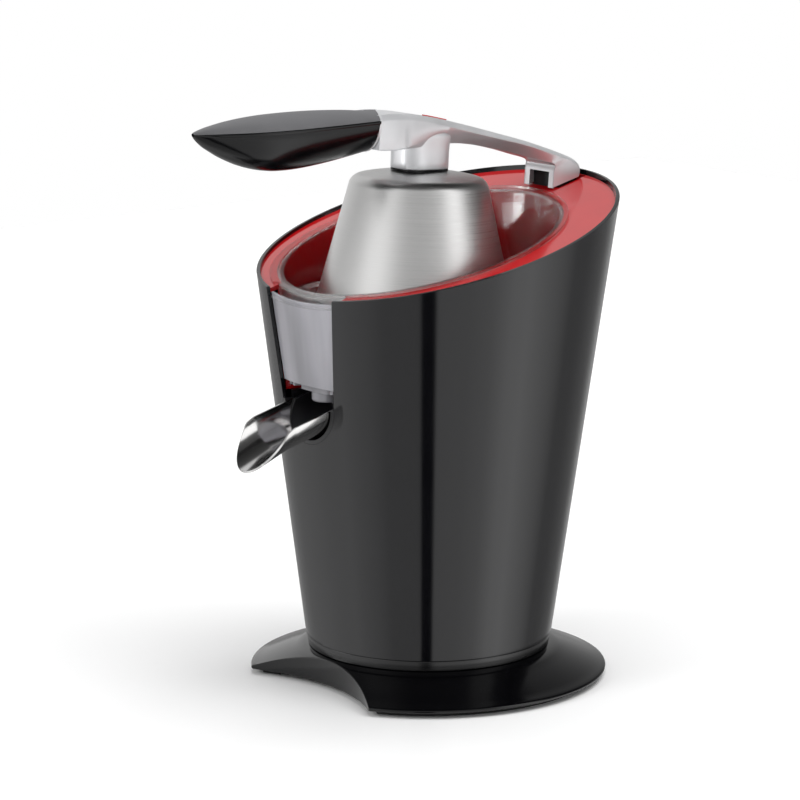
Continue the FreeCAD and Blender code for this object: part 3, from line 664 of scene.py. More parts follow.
@dataclass
class Base:
    """Round flared base with a concave front."""

    notch_r: float = 118.0
    notch_centre: float = 192.0
    rim_r: float = 105.0
    notch_columns: int = 24
    rim_columns: int = 192
    under_z: float = 3.05
    edge_z: float = 4.5
    flare: tuple = ((58, 18.2), (73.3, 18.2), (78, 16.0), (83, 14.0), (88, 12.0), (93, 9.95), (98, 7.85),
                    (102, 6.2), (103.8, 5.65), (104.7, 5.2), (105, 4.5), (105, 3.9), (104.6, 3.3),
                    (104, 3.05))
    hollow: tuple = ((94, 3.05), (94, 6.5), (80, 11.6), (68, 15.2), (58, 15.2))

    def reach(self, phi: float, radius: float) -> float:
        """Distance from the middle to a circle round the notch's centre, at an angle."""
        across = self.notch_centre * math.cos(phi)
        inside = across ** 2 - (self.notch_centre ** 2 - radius ** 2)
        return across - math.sqrt(inside) if inside > 0 and across > 0 else 999.0

    def corner(self) -> float:
        """Angle at which the notch meets the rim."""
        excess = self.rim_r ** 2 + self.notch_centre ** 2 - self.notch_r ** 2
        return math.acos(excess / (2 * self.rim_r * self.notch_centre))

    def angle(self, column: int) -> float:
        """Angle of a column, with a column on each corner of the notch."""
        corner = self.corner()
        if column <= self.notch_columns:
            return corner * column / self.notch_columns
        column -= self.notch_columns
        if column <= self.rim_columns:
            return between(corner, math.tau - corner, column / self.rim_columns)
        return math.tau - corner * (1 - (column - self.rim_columns) / self.notch_columns)

    def disc(self) -> Mesh:
        """Closed skin of the base: top, edge, underside and hollow."""
        rows = [*self.flare, *self.hollow, self.flare[0]]
        flare_line = self.flare[:11]
        hollow_line = tuple(reversed(self.hollow[1:]))

        def place(column: int, row: int) -> Place:
            phi = self.angle(column)
            r, z = rows[row]
            if row < len(self.flare):
                limit = self.reach(phi, self.notch_r)
                if r > limit:
                    r = limit
                    top = broken_line(flare_line, limit)
                    rise = (z - self.under_z) / (self.edge_z - self.under_z)
                    z = top if row < 10 else between(self.under_z, top, rise * 0.9)
            elif row < len(rows) - 1:
                limit = self.reach(phi, self.notch_r + 4)
                if r > limit:
                    r = limit
                    z = z if row == len(self.flare) else broken_line(hollow_line, limit)
            return around(phi, r, z)

        return warped_grid(2 * self.notch_columns + self.rim_columns, len(rows) - 1, place)

    def build(self, shop: Workshop) -> None:
        """Make the base and its foot."""
        shop.show(self.disc(), "base_flare", "stand", "base_black", ["base_disc"], 0.0, 0.5)
        shop.polish("foot_ring", "stand", "foot_rubber")


# ------------------------------------------------------------------ deck, bowl and strainer
@dataclass
class Deck:
    """Slanted red deck with its well, cut open at the front slot."""

    housing: Housing
    axis_y: float = -7.0
    drop: float = 1.9
    inset: float = 2.3
    well_low_r: float = 78.5
    well_top_r: float = 84.7
    well_low_z: float = 176.0
    well_top_z: float = 290.0
    floor_z: float = 178.5
    thickness: float = 2.5
    pin_y: float = 97.0
    pin_z: float = 289.0
    swing_r: float = 12.0
    swing_half: float = 13.9
    # low and high corners of the block under the deck, and of the hole for the pedestal
    pocket_box: tuple = ((-16.4, 83.0, 272.0), (16.4, 105.6, 300.0))
    post_box: tuple = ((-8.35, 88.45, 260.0), (8.35, 99.55, 300.0))
    columns: int = 200

    def well_r(self, z: float) -> float:
        """Inner radius of the well at a height."""
        share = (z - self.well_low_z) / (self.well_top_z - self.well_low_z)
        return between(self.well_low_r, self.well_top_r, share)

    def edge_point(self, share: float, level: float) -> Place:
        """Point of the well's wall.

        Args:
            share: how far round from one edge of the slot to the other.
            level: 1 at the deck, 0 at the floor.

        Returns:
            The point.
        """
        z = self.housing.rim_z
        x = y = 0.0
        for _ in range(6):
            reach = self.well_r(z)
            phi = self.housing.slot_swept(share, z, reach)
            x, y, z = around(phi, reach, z, self.axis_y)
            z = between(self.floor_z, self.housing.plane(y, self.drop), level)
        return (x, y, z)

    def rim_point(self, share: float) -> Place:
        """Point where the deck meets the inside of the housing."""
        point = self.housing.rim_point(0.0, self.drop, 1.0, self.inset)
        for _ in range(4):
            reach = math.hypot(point[0], point[1])
            phi = self.housing.slot_swept(share, point[2], reach)
            point = self.housing.rim_point(phi, self.drop, 1.0, self.inset)
        return point

    def surface(self) -> Mesh:
        """Deck, well wall and well floor as one skin."""
        across = 5
        levels = [1.0, 0.985, 0.8, 0.6, 0.4, 0.2, 0.03, 0.0]
        floor = [0.95, 0.7, 0.45]

        def place(column: int, row: int) -> Place:
            share = column / self.columns
            if row < across:
                outer, inner = self.rim_point(share), self.edge_point(share, 1.0)
                return tuple(between(a, b, row / across) for a, b in zip(outer, inner))
            if row < across + len(levels):
                return self.edge_point(share, levels[row - across])
            reach = self.well_r(self.floor_z) * floor[row - across - len(levels)]
            phi = self.housing.slot_swept(share, self.floor_z, reach)
            return around(phi, reach, self.floor_z, self.axis_y)

        return warped_grid(self.columns, across + len(levels) + len(floor) - 1, place)

    def pocket(self) -> Mesh:
        """Block under the deck that the lever's root swings in."""
        bm = block(*self.pocket_box)
        slope = Vector((0, -self.housing.rim_slope, 1)).normalized()
        level = self.housing.plane(0.0, self.drop + self.thickness + 0.02)
        bmesh.ops.bisect_plane(bm, geom=bm.verts[:] + bm.edges[:] + bm.faces[:], dist=1e-7,
                               plane_co=Vector((0, 0, level)) * MM, plane_no=slope, clear_outer=True)
        return capped(bm)

    def swing(self) -> Mesh:
        """Room that the lever's root takes up round its pin."""
        return rod_x(self.swing_r, self.swing_half, self.pin_y, self.pin_z)

    def build(self, shop: Workshop) -> None:
        """Make the deck and the hinge's pocket."""
        shop.show(self.surface(), "red_deck_panel", "stand", "red_panel", ["red_deck"],
                  self.thickness, 0.4, [self.swing()])
        shop.show(self.pocket(), "red_hinge_pocket", "stand", "red_panel", edge=0.3,
                  cuts=[self.swing(), block(*self.post_box)])
        shop.polish_each("stand", hinge_pedestal="inner_black", hinge_pin="plain_steel")


@dataclass
class Bowl:
    """Clear juice collector with its flange, skirt, sump and outlet."""

    housing: Housing
    axis_y: float = -7.0
    floor_z: float = 182.5
    low_r: float = 76.5
    high_r: float = 83.4
    high_z: float = 290.0
    wall: float = 2.0
    flange_r: float = 86.4
    flange_in_r: float = 81.3
    flange_top: float = -0.3
    slot_flange_r: float = 84.1
    slot_flange_half: float = 33.0
    wall_drop: float = 1.2
    window_inset: float = 2.5
    window_gap: float = 0.7
    window_bow: float = 98.0
    window_low_z: float = 182.6
    window_drop: float = 3.4
    chimney: tuple = (9.0, 11.0, 210.4)
    outlet_y: float = -74.4
    columns: int = 180

    def wall_r(self, z: float) -> float:
        """Outer radius of the bowl at a height."""
        return between(self.low_r, self.high_r, (z - self.floor_z) / (self.high_z - self.floor_z))

    def profile(self) -> list[tuple[str, float, float]]:
        """Closed outline: (kind, radius or inset, height or drop) rows."""
        hole, pipe, top = self.chimney
        inner = self.floor_z + self.wall
        rows = [("flat", hole, self.floor_z), ("flat", 40, self.floor_z), ("flat", 75.3, self.floor_z),
                ("wall", 0.0, 0.012)]
        rows += [("wall", 0.0, share) for share in (0.15, 0.35, 0.55, 0.75, 0.9)]
        rows += [("wall", 0.0, 0.98), ("rim", 84.0, 2.0), ("rim", self.flange_r, 2.0),
                 ("rim", self.flange_r, -self.flange_top), ("rim", self.flange_in_r, -self.flange_top),
                 ("rim", self.flange_in_r, self.wall_drop)]
        rows += [("wall", self.wall, share) for share in (0.985, 0.9, 0.75, 0.55, 0.35, 0.15, 0.045)]
        rows += [("flat", 72.8, inner), ("flat", 40, inner), ("flat", pipe, inner), ("flat", pipe, top),
                 ("flat", hole, top), ("flat", hole, self.floor_z)]
        return rows

    def shell(self) -> Mesh:
        """The bowl itself."""
        rows = self.profile()

        def place(column: int, row: int) -> Place:
            phi = math.tau * column / self.columns
            kind, reach, height = rows[row]
            z = height
            if kind == "rim":
                if math.cos(phi) > 0 and abs(reach * math.sin(phi)) < self.slot_flange_half:
                    reach = min(reach, self.slot_flange_r)
                z = self.housing.plane(self.axis_y - reach * math.cos(phi), height)
            elif kind == "wall":
                inset = reach
                reach = self.high_r
                for _ in range(5):
                    rim = self.housing.plane(self.axis_y - reach * math.cos(phi), self.wall_drop)
                    z = between(self.floor_z, rim, height)
                    reach = self.wall_r(z) - inset
            return around(phi, reach, z, self.axis_y)

        return warped_grid(self.columns, len(rows) - 1, place)

    def skirt(self) -> Mesh:
        """Short apron under the flange, across the slot."""
        reach = self.flange_r - 2.6
        side = math.asin(31.0 / reach)
        drops = [2.05, 4.0, 6.0, 7.0]

        def place(column: int, row: int) -> Place:
            phi = between(-side, side, column / 30)
            y = self.axis_y - reach * math.cos(phi)
            return (reach * math.sin(phi), y, self.housing.plane(y, drops[len(drops) - 1 - row]))

        return warped_grid(30, len(drops) - 1, place)

    def window(self) -> Mesh:
        """Milky front panel that fills the slot."""
        columns, rows = 60, 24
        housing, inset = self.housing, self.window_inset

        def place(column: int, row: int) -> Place:
            side = 2 * column / columns - 1
            x, z = 0.0, self.floor_z
            for _ in range(5):
                x = side * (housing.slot_half(z) - self.window_gap)
                bow = math.sqrt(max(0.0, 1 - (x / self.window_bow) ** 2))
                top = housing.plane(housing.skin(0.0, z, inset)[1] * bow, self.window_drop)
                z = between(self.window_low_z, top, row / rows)
            reach = math.hypot(x, housing.skin(0.0, z, inset)[1])
            return housing.skin(math.asin(x / reach), z, inset)

        return warped_grid(columns, rows, place)

    def ledge(self, low_drop: float, high_drop: float, proud: float) -> Mesh:
        """Raised line across the window, under the flange.

        Args:
            low_drop: drop of its lower edge below the rim plane.
            high_drop: drop of its upper edge.
            proud: how far it stands out.

        Returns:
            The closed mesh.
        """
        columns = 40
        foot = self.window_inset - 0.1
        drops = [(high_drop, foot), (high_drop, foot - proud), (low_drop, foot - proud),
                 (low_drop, foot)]

        def place(column: int, row: int) -> Place:
            drop, inset = drops[row]
            side = between(-1.0, 1.0, column / columns)
            point = self.housing.rim_point(0.0, drop, 1.0, inset)
            for _ in range(4):
                reach = math.hypot(point[0], point[1])
                half = self.housing.slot_half(point[2]) - self.window_gap
                across = side * math.asin(half / reach)
                point = self.housing.rim_point(across, drop, 1.0, inset)
            return point

        return capped(warped_grid(columns, 3, place))

    def outlet(self) -> Mesh:
        """Outlet stub with a drip lip."""
        return turned([(8.5, 178.4), (8.5, 173.4), (7.9, 172.5), (6.7, 172.3), (1.6, 172.3),
                       (1.6, 173.6),
                       (5.9, 173.9), (5.9, 178.4)], self.outlet_y, 48)

    def sump(self) -> Mesh:
        """Lowered part of the floor over the outlet."""
        bm = block((-14.0, -84.0, 178.3), (14.0, -56.0, 182.45))
        uprights = [e for e in bm.edges if abs(e.verts[0].co.z - e.verts[1].co.z) > 1e-4]
        bmesh.ops.bevel(bm, geom=uprights, offset=4 * MM, affect="EDGES", segments=4, profile=0.5,
                        material=-1)
        return bm

    def fins(self) -> list[Mesh]:
        """Small stiffening fins round the front of the floor."""
        made = []
        for degrees in (-21, -17, -13, 13, 17, 21):
            bm = block((-1.1, -12.0, 179.4), (1.1, 0.0, 182.6))
            spin = Matrix.Rotation(math.radians(degrees), 4, "Z")
            shift = Matrix.Translation(Vector((0, self.axis_y, 0)) * MM)
            out = Matrix.Translation(Vector((0, -67.5, 0)) * MM)
            bmesh.ops.transform(bm, matrix=shift @ spin @ out, verts=bm.verts)
            made.append(bm)
        return made

    def build(self, shop: Workshop) -> None:
        """Make the bowl's mouldings and the strainer in it."""
        shop.show(self.shell(), "bowl_clear", "stand", "clear_bowl", ["juice_bowl"], 0.0, 0.35)
        shop.show(self.skirt(), "bowl_skirt", "stand", "clear_bowl", (), 1.8, 0.3)
        shop.show(self.window(), "bowl_window", "stand", "clear_bowl", (), 1.6, 0.3, (), "milky_bowl")
        shop.show(self.ledge(6.4, 5.2, 0.5), "bowl_window_line", "stand", "clear_bowl", (), 0.0, 0.15)
        milky = [("bowl_sump", self.sump(), 0.5), ("bowl_outlet", self.outlet(), 0.3)]
        milky += [(f"bowl_fin_{number}", fin, 0.3) for number, fin in enumerate(self.fins(), 1)]
        for name, bm, edge in milky:
            shop.show(bm, name, "stand", "clear_bowl", edge=edge, finish="milky_bowl")
        shop.polish_each("stand", strainer="smoke_strainer", strainer_ring="cone_black")


@dataclass
class Cone:
    """Ribbed juicing cone over its drip skirt."""

    axis_y: float = -7.0
    low_z: float = 213.0
    top_z: float = 266.0
    reach: float = 36.0
    ribs: int = 10
    columns: int = 160

    def surface(self) -> Mesh:
        """The cone with rounded ribs that run up to its tip."""
        rows = 30
        skirt = [(0.0, 213.0), (47.2, 213.0), (48.0, 214.0), (47.0, 215.5), (39.0, 215.7), (37.0, 216.4)]

        def place(column: int, row: int) -> Place:
            phi = math.tau * column / self.columns
            if row < len(skirt):
                reach, z = skirt[row]
            else:
                share = (row - len(skirt)) / (rows - len(skirt))
                z = between(216.8, self.top_z, share ** 0.85)
                rise = (z - self.low_z) / (self.top_z - self.low_z)
                core = (self.reach - 3) * math.sqrt(max(0.0, 1 - rise ** 1.7))
                crest = abs(math.cos(self.ribs / 2 * phi)) ** 2.4
                reach = core + min(3.4, 3.4 * core / 8) * crest
            return around(phi, reach, z, self.axis_y)

        return warped_grid(self.columns, rows, place)

    def build(self, shop: Workshop) -> None:
        """Make the cone."""
        shop.show(self.surface(), "cone_ribbed", "juicing_drive", "cone_black", ["juicing_cone"])


# ------------------------------------------------------------------ lever
@dataclass
class Lever:
    """Raised lever: arm, neck, dome, button and grip."""

    hinge_y: float = 97.0
    hinge_z: float = 289.0
    raised: float = math.radians(2.8)
    axis_y: float = -7.0
    seam_z: float = 332.4
    grip_tip_y: float = -165.0
    # low and high corners of the gap in the forked root and of the button's pocket
    fork_box: tuple = ((-8.7, 60.0, 270.0), (8.7, 125.0, 291.0))
    button_box: tuple = ((-3.25, -4.35, 320.2), (3.25, 11.5, 340.0))
    # (top y, top z, low y, low z, half width, flank share, low width share) along the arm
    arm_knots: tuple = (
        (-47.4, 335.2, -47.4, 315.4, 16.1, 1.0, 0.93), (-36, 335.2, -36, 314.6, 16.0, 1.0, 0.93),
        (-22, 333.9, -23, 314.4, 15.6, 0.84, 0.86), (-8, 331.3, -10, 314.4, 15.0, 0.5, 0.76),
        (6, 327.9, 2, 314.3, 14.5, 0.27, 0.66), (18, 324.7, 13, 313.9, 14.0, 0.17, 0.58),
        (32, 320.8, 26, 312.0, 13.4, 0.14, 0.5), (48, 316.2, 40, 309.1, 13.3, 0.12, 0.48),
        (64, 311.5, 54, 305.5, 13.3, 0.12, 0.5), (78, 306.8, 68, 301.3, 13.3, 0.2, 0.6),
        (88, 303.2, 80, 298.0, 13.3, 0.6, 0.85), (95, 300.5, 84.8, 295.8, 13.3, 1.0, 1.0),
        (101, 297.9, 84.5, 292.5, 13.3, 1.0, 1.0), (105.6, 294.4, 84.2, 289.0, 13.3, 1.0, 1.0),
        (107.3, 291.2, 83.8, 285.2, 13.3, 1.0, 1.0), (106.6, 288.0, 83.5, 281.9, 13.3, 1.0, 1.0))
    # (y, half width, lowest z, highest z) along the grip
    grip_knots: tuple = (
        (-46, 17.3, 314.3, 336.4), (-56, 18.1, 312.7, 337.5), (-66, 18.8, 311.2, 338.3),
        (-78, 19.6, 309.6, 339.0), (-90, 20.2, 308.4, 339.4), (-101, 20.5, 307.8, 339.5),
        (-112, 20.2, 307.9, 339.4), (-120, 19.5, 308.8, 339.1), (-128, 18.2, 310.6, 338.6),
        (-135, 16.5, 312.8, 338.0), (-142, 14.2, 315.8, 337.2), (-148, 11.7, 318.7, 336.4),
        (-153, 9.3, 321.6, 335.7), (-157, 7.1, 324.0, 335.0), (-160, 5.2, 326.2, 334.4),
        (-163, 3.2, 328.9, 333.7), (-165, 1.2, 331.2, 333.0))

    def lifted(self, point: Place) -> Place:
        """Raise a point of the closed lever to its rest position."""
        dy, dz = point[1] - self.hinge_y, point[2] - self.hinge_z
        cosine, sine = math.cos(self.raised), math.sin(self.raised)
        return (point[0], self.hinge_y + dy * cosine + dz * sine, self.hinge_z - dy * sine + dz * cosine)

    def dome(self) -> Mesh:
        """Pressing dome: straight side, round shoulder and shallow crown."""
        outline = [(56.7, 217.6), (57.25, 218.0), (57.2, 219.2)]
        outline += [(between(57.2, 40.5, k / 16), between(217.9, 285.2, k / 16)) for k in range(1, 17)]
        for degrees in range(20, 81, 6):
            swing = math.radians(degrees)
            outline.append((32.8 + 8.0 * math.cos(swing), 283.3 + 8.0 * math.sin(swing)))
        outline += [(31.0, 291.85), (26.0, 292.7), (17.0, 293.7), (10.0, 294.0), (6.1, 294.1)]
        columns = 180

        def place(column: int, row: int) -> Place:
            phi = math.tau * column / columns
            reach, z = outline[row]
            return self.lifted(around(phi, reach, z, self.axis_y))

        return warped_grid(columns, len(outline) - 1, place)

    def rounded(self, phi: float, half_x: float, half_y: float, power: float) -> tuple[float, float]:
        """Point of a rectangle with round corners, by angle."""
        cosine, sine = math.cos(phi), math.sin(phi)
        scale = (abs(sine / half_x) ** power + abs(cosine / half_y) ** power) ** (-1 / power)
        return (scale * sine, -scale * cosine)

    def neck(self) -> Mesh:
        """Neck between dome and arm, a little wider at its root."""
        levels = [(295.4, 0.35), (296.0, 0.0), (300.0, 0.0), (305.0, 0.0), (310.0, 0.3), (314.0, 1.0),
                  (319.0, 1.4)]
        columns = 96

        def place(column: int, row: int) -> Place:
            z, flare = levels[row]
            flare = flare if row else -flare
            x, y = self.rounded(math.tau * column / columns, 12.5 + flare, 16.0 + flare, 3.4)
            return self.lifted((x, self.axis_y + y, z))

        return warped_grid(columns, len(levels) - 1, place)

    def arm(self) -> Mesh:
        """Arm: flat top, chamfered shoulders, flanks that fade out behind the neck."""
        stations = flowing(self.arm_knots, 6)

        def section(top_y: float, top_z: float, low_y: float, low_z: float, half: float,
                    flank: float, waist: float) -> list[Place]:
            slope = math.hypot(top_y - low_y, top_z - low_z)
            chamfer = min(3.2, slope * 0.3)
            low_share = between(1.2 * chamfer / slope, 1.0, max(0.0, min(1.0, flank)))
            halves = [(0.0, 0.0), (half - 4.0, 0.005), (half - 3.3, 0.04 * chamfer / slope),
                      (half - 0.3, 0.88 * chamfer / slope), (half, 1.15 * chamfer / slope),
                      (half * between(0.9, 1.0, min(1.0, 2 * chamfer / slope)), low_share),
                      (half * between(waist, 1.0, 0.35 if flank < 0.9 else 1.0),
                       between(low_share, 1.0, 0.55)),
                      (half * waist, 1.0)]
            points = []
            for x, share in halves + [(-x, share) for x, share in reversed(halves[1:])]:
                points.append((x, between(top_y, low_y, share), between(top_z, low_z, share)))
            return points + points[:1]

        rings = [section(*station) for station in stations]

        def place(column: int, row: int) -> Place:
            return rings[column][row]

        return capped(warped_grid(len(rings) - 1, len(rings[0]) - 1, place))

    def joint_y(self, across: float, down: float) -> float:
        """Where the grip ends, pointed rearwards at the top.

        Args:
            across: 0 on the middle of the top, 1 at the seam.
            down: 0 at the seam, 1 at the bottom.

        Returns:
            The place along Y.
        """
        return -38.5 - 9.5 * abs(across) - 2.0 * down

    def grip_at(self, y: float) -> tuple[float, float, float]:
        """Half width, lowest and highest point of the grip at a place along it."""
        knots = flowing(self.grip_knots, 5)
        along = sorted((row[0], row[1:]) for row in knots)
        lines = [tuple((place, values[k]) for place, values in along) for k in range(3)]
        return tuple(broken_line(line, y) for line in lines)

    def grip_point(self, y: float, across: float, lift: float, upper: bool) -> tuple[float, float]:
        """Point of the grip's section at a place along it.

        Args:
            y: the place along it.
            across: cosine of the angle round the section.
            lift: sine of that angle, without its sign.
            upper: above the seam, or else below it.

        Returns:
            Its X and Z.
        """
        half, low, high = self.grip_at(y)
        if upper:
            return (half * across, self.seam_z + (high - self.seam_z) * lift ** 1.15)
        width = half * math.copysign(abs(across) ** 0.86, across)
        return (width, self.seam_z - (self.seam_z - low) * lift ** 0.94)

    def grip_skin(self, upper: bool) -> Mesh:
        """One shell of the grip, closed.

        Args:
            upper: the soft crown, or else the glossy keel.

        Returns:
            The mesh.
        """
        columns, rows = 56, 20
        stations = [1 - (1 - k / columns) ** 1.5 for k in range(columns + 1)]

        def place(column: int, row: int) -> Place:
            turn = math.pi * (row / rows)
            across, lift = math.cos(turn), math.sin(turn)
            start = self.joint_y(across, 0.0) if upper else self.joint_y(1.0, lift)
            y = between(start, self.grip_tip_y, stations[column])
            x, z = self.grip_point(y, across, lift, upper)
            return (x, y, z)

        return capped(warped_grid(columns, rows, place))

    def grip_strip(self, side: int) -> Mesh:
        """Thin glossy bead under the ridge of the grip on one side."""
        columns = 60
        offsets = [(0.0, 0.15), (0.45, -0.2), (0.5, -0.9), (0.25, -1.7), (-0.6, -2.0)]

        def place(column: int, row: int) -> Place:
            share = column / columns
            y = between(self.joint_y(1.0, 0.0), -163.5, share)
            half = self.grip_at(y)[0]
            out, up = offsets[row]
            fade = min(1.0, (1 - share) * 8)
            return (side * (half + out * fade), y, self.seam_z + up * fade)

        return capped(warped_grid(columns, len(offsets) - 1, place))

    def collar(self) -> Mesh:
        """Bright edge of the arm that frames the end of the grip."""
        columns = 72
        # (distance rearwards, distance outwards) round the edge's section
        section = [(1.3, -1.2), (1.3, -0.1), (0.9, 0.25), (-0.4, 0.25), (-0.4, -1.2), (1.3, -1.2)]

        def place(column: int, row: int) -> Place:
            turn = math.tau * column / columns
            across, lift = math.cos(turn), math.sin(turn)
            back, out = section[row]
            upper = lift >= 0
            start = self.joint_y(across, 0.0) if upper else self.joint_y(1.0, -lift)
            x, z = self.grip_point(start, across, abs(lift), upper)
            return (x + out * across, start + back, z + out * lift)

        return warped_grid(columns, len(section) - 1, place)

    def build(self, shop: Workshop) -> None:
        """Make the lever's pieces."""
        shop.show(self.dome(), "dome_brushed", "lever", "dome_steel", ["press_dome"], 1.2)
        shop.show(self.neck(), "lever_neck_satin", "lever", "lever_silver", ["lever_neck"], 2.2)
        cuts = [block(*self.fork_box), rod_x(7.4, 8.7, self.hinge_y, self.hinge_z),
                block(*self.button_box)]
        shop.show(self.arm(), "lever_arm_satin", "lever", "lever_silver", ["lever_arm"], cuts=cuts)
        shop.show(self.collar(), "grip_collar", "lever", "lever_silver")
        shop.show(self.grip_skin(True), "grip_crown", "lever", "grip_soft", ["grip_upper"])
        shop.show(self.grip_skin(False), "grip_keel", "lever", "grip_gloss", ["grip_lower"])
        for side, label in ((1, "right"), (-1, "left")):
            shop.show(self.grip_strip(side), f"grip_bead_{label}", "lever", "grip_gloss")
        shop.polish_each("lever", dome_hub="inner_black", press_cup="cup_grey")
        shop.polish("release_button", "button", "button_red")


# ------------------------------------------------------------------ spout
@dataclass
class Spout:
    """Pouring channel with its round drooping nose and black liner."""

    rear_y: float = -56.0
    rear_z: float = 178.9
    slope: float = math.tan(math.radians(14.7))
    half: float = 20.5
    depth: float = 17.06
    nose_y: float = -133.0
    bend_y: float = -111.0
    droop: float = 0.16
    middle_y: float = -112.0
    plan_spare: float = 0.6
    fall: tuple = ((-133.0, 10.4), (-131.0, 8.3), (-129.0, 6.5), (-126.0, 4.4), (-123.0, 2.8),
                   (-120.5, 1.8),
                   (-117.0, 0.8), (-114.0, 0.25), (-111.0, 0.0))

    def point(self, y: float, theta: float, inset: float) -> Place:
        """Point of the channel at an angle from its bottom."""
        droop = self.droop * max(0.0, self.bend_y - y)
        edge = self.rear_z - (self.rear_y - y) * self.slope - droop
        return ((self.half - inset) * math.sin(theta), y, edge - (self.depth - inset) * math.cos(theta))

    def widest(self, y: float) -> float:
        """Largest angle that the channel's side reaches at a place along it."""
        drop = broken_line(self.fall, y)
        by_side = math.acos(min(1.0, drop / self.depth))
        if y >= self.middle_y:
            return by_side
        ahead = (y - self.middle_y) / (self.nose_y - self.middle_y)
        plan = (self.half + self.plan_spare) * math.sqrt(max(0.0, 1 - ahead ** 2))
        return min(by_side, math.asin(min(1.0, plan / self.half)))

    def channel(self) -> Mesh:
        """The steel channel."""
        columns, rows = 40, 60

        def place(column: int, row: int) -> Place:
            y = between(self.rear_y, self.nose_y, 1 - (1 - row / rows) ** 2.0)
            return self.point(y, self.widest(y) * (2 * column / columns - 1), 0.0)

        return warped_grid(columns, rows, place)

    def liner(self) -> Mesh:
        """Black liner of the rear end, with an arched front edge."""
        columns, rows = 40, 16

        def place(column: int, row: int) -> Place:
            theta = math.radians(88) * (2 * column / columns - 1)
            front = -82.5 - 10.6 * math.cos(theta)
            return self.point(between(self.rear_y - 0.5, front, row / rows), theta, 1.25)

        return warped_grid(columns, rows, place)

    def build(self, shop: Workshop) -> None:
        """Make the channel and its liner."""
        shop.show(self.channel(), "spout_channel", "pouring_spout", "spout_steel", ["spout"], 1.2, 0.35)
        shop.show(self.liner(), "spout_liner", "pouring_spout", "inner_black",
                  ["spout_carrier"], 1.4, 0.3)


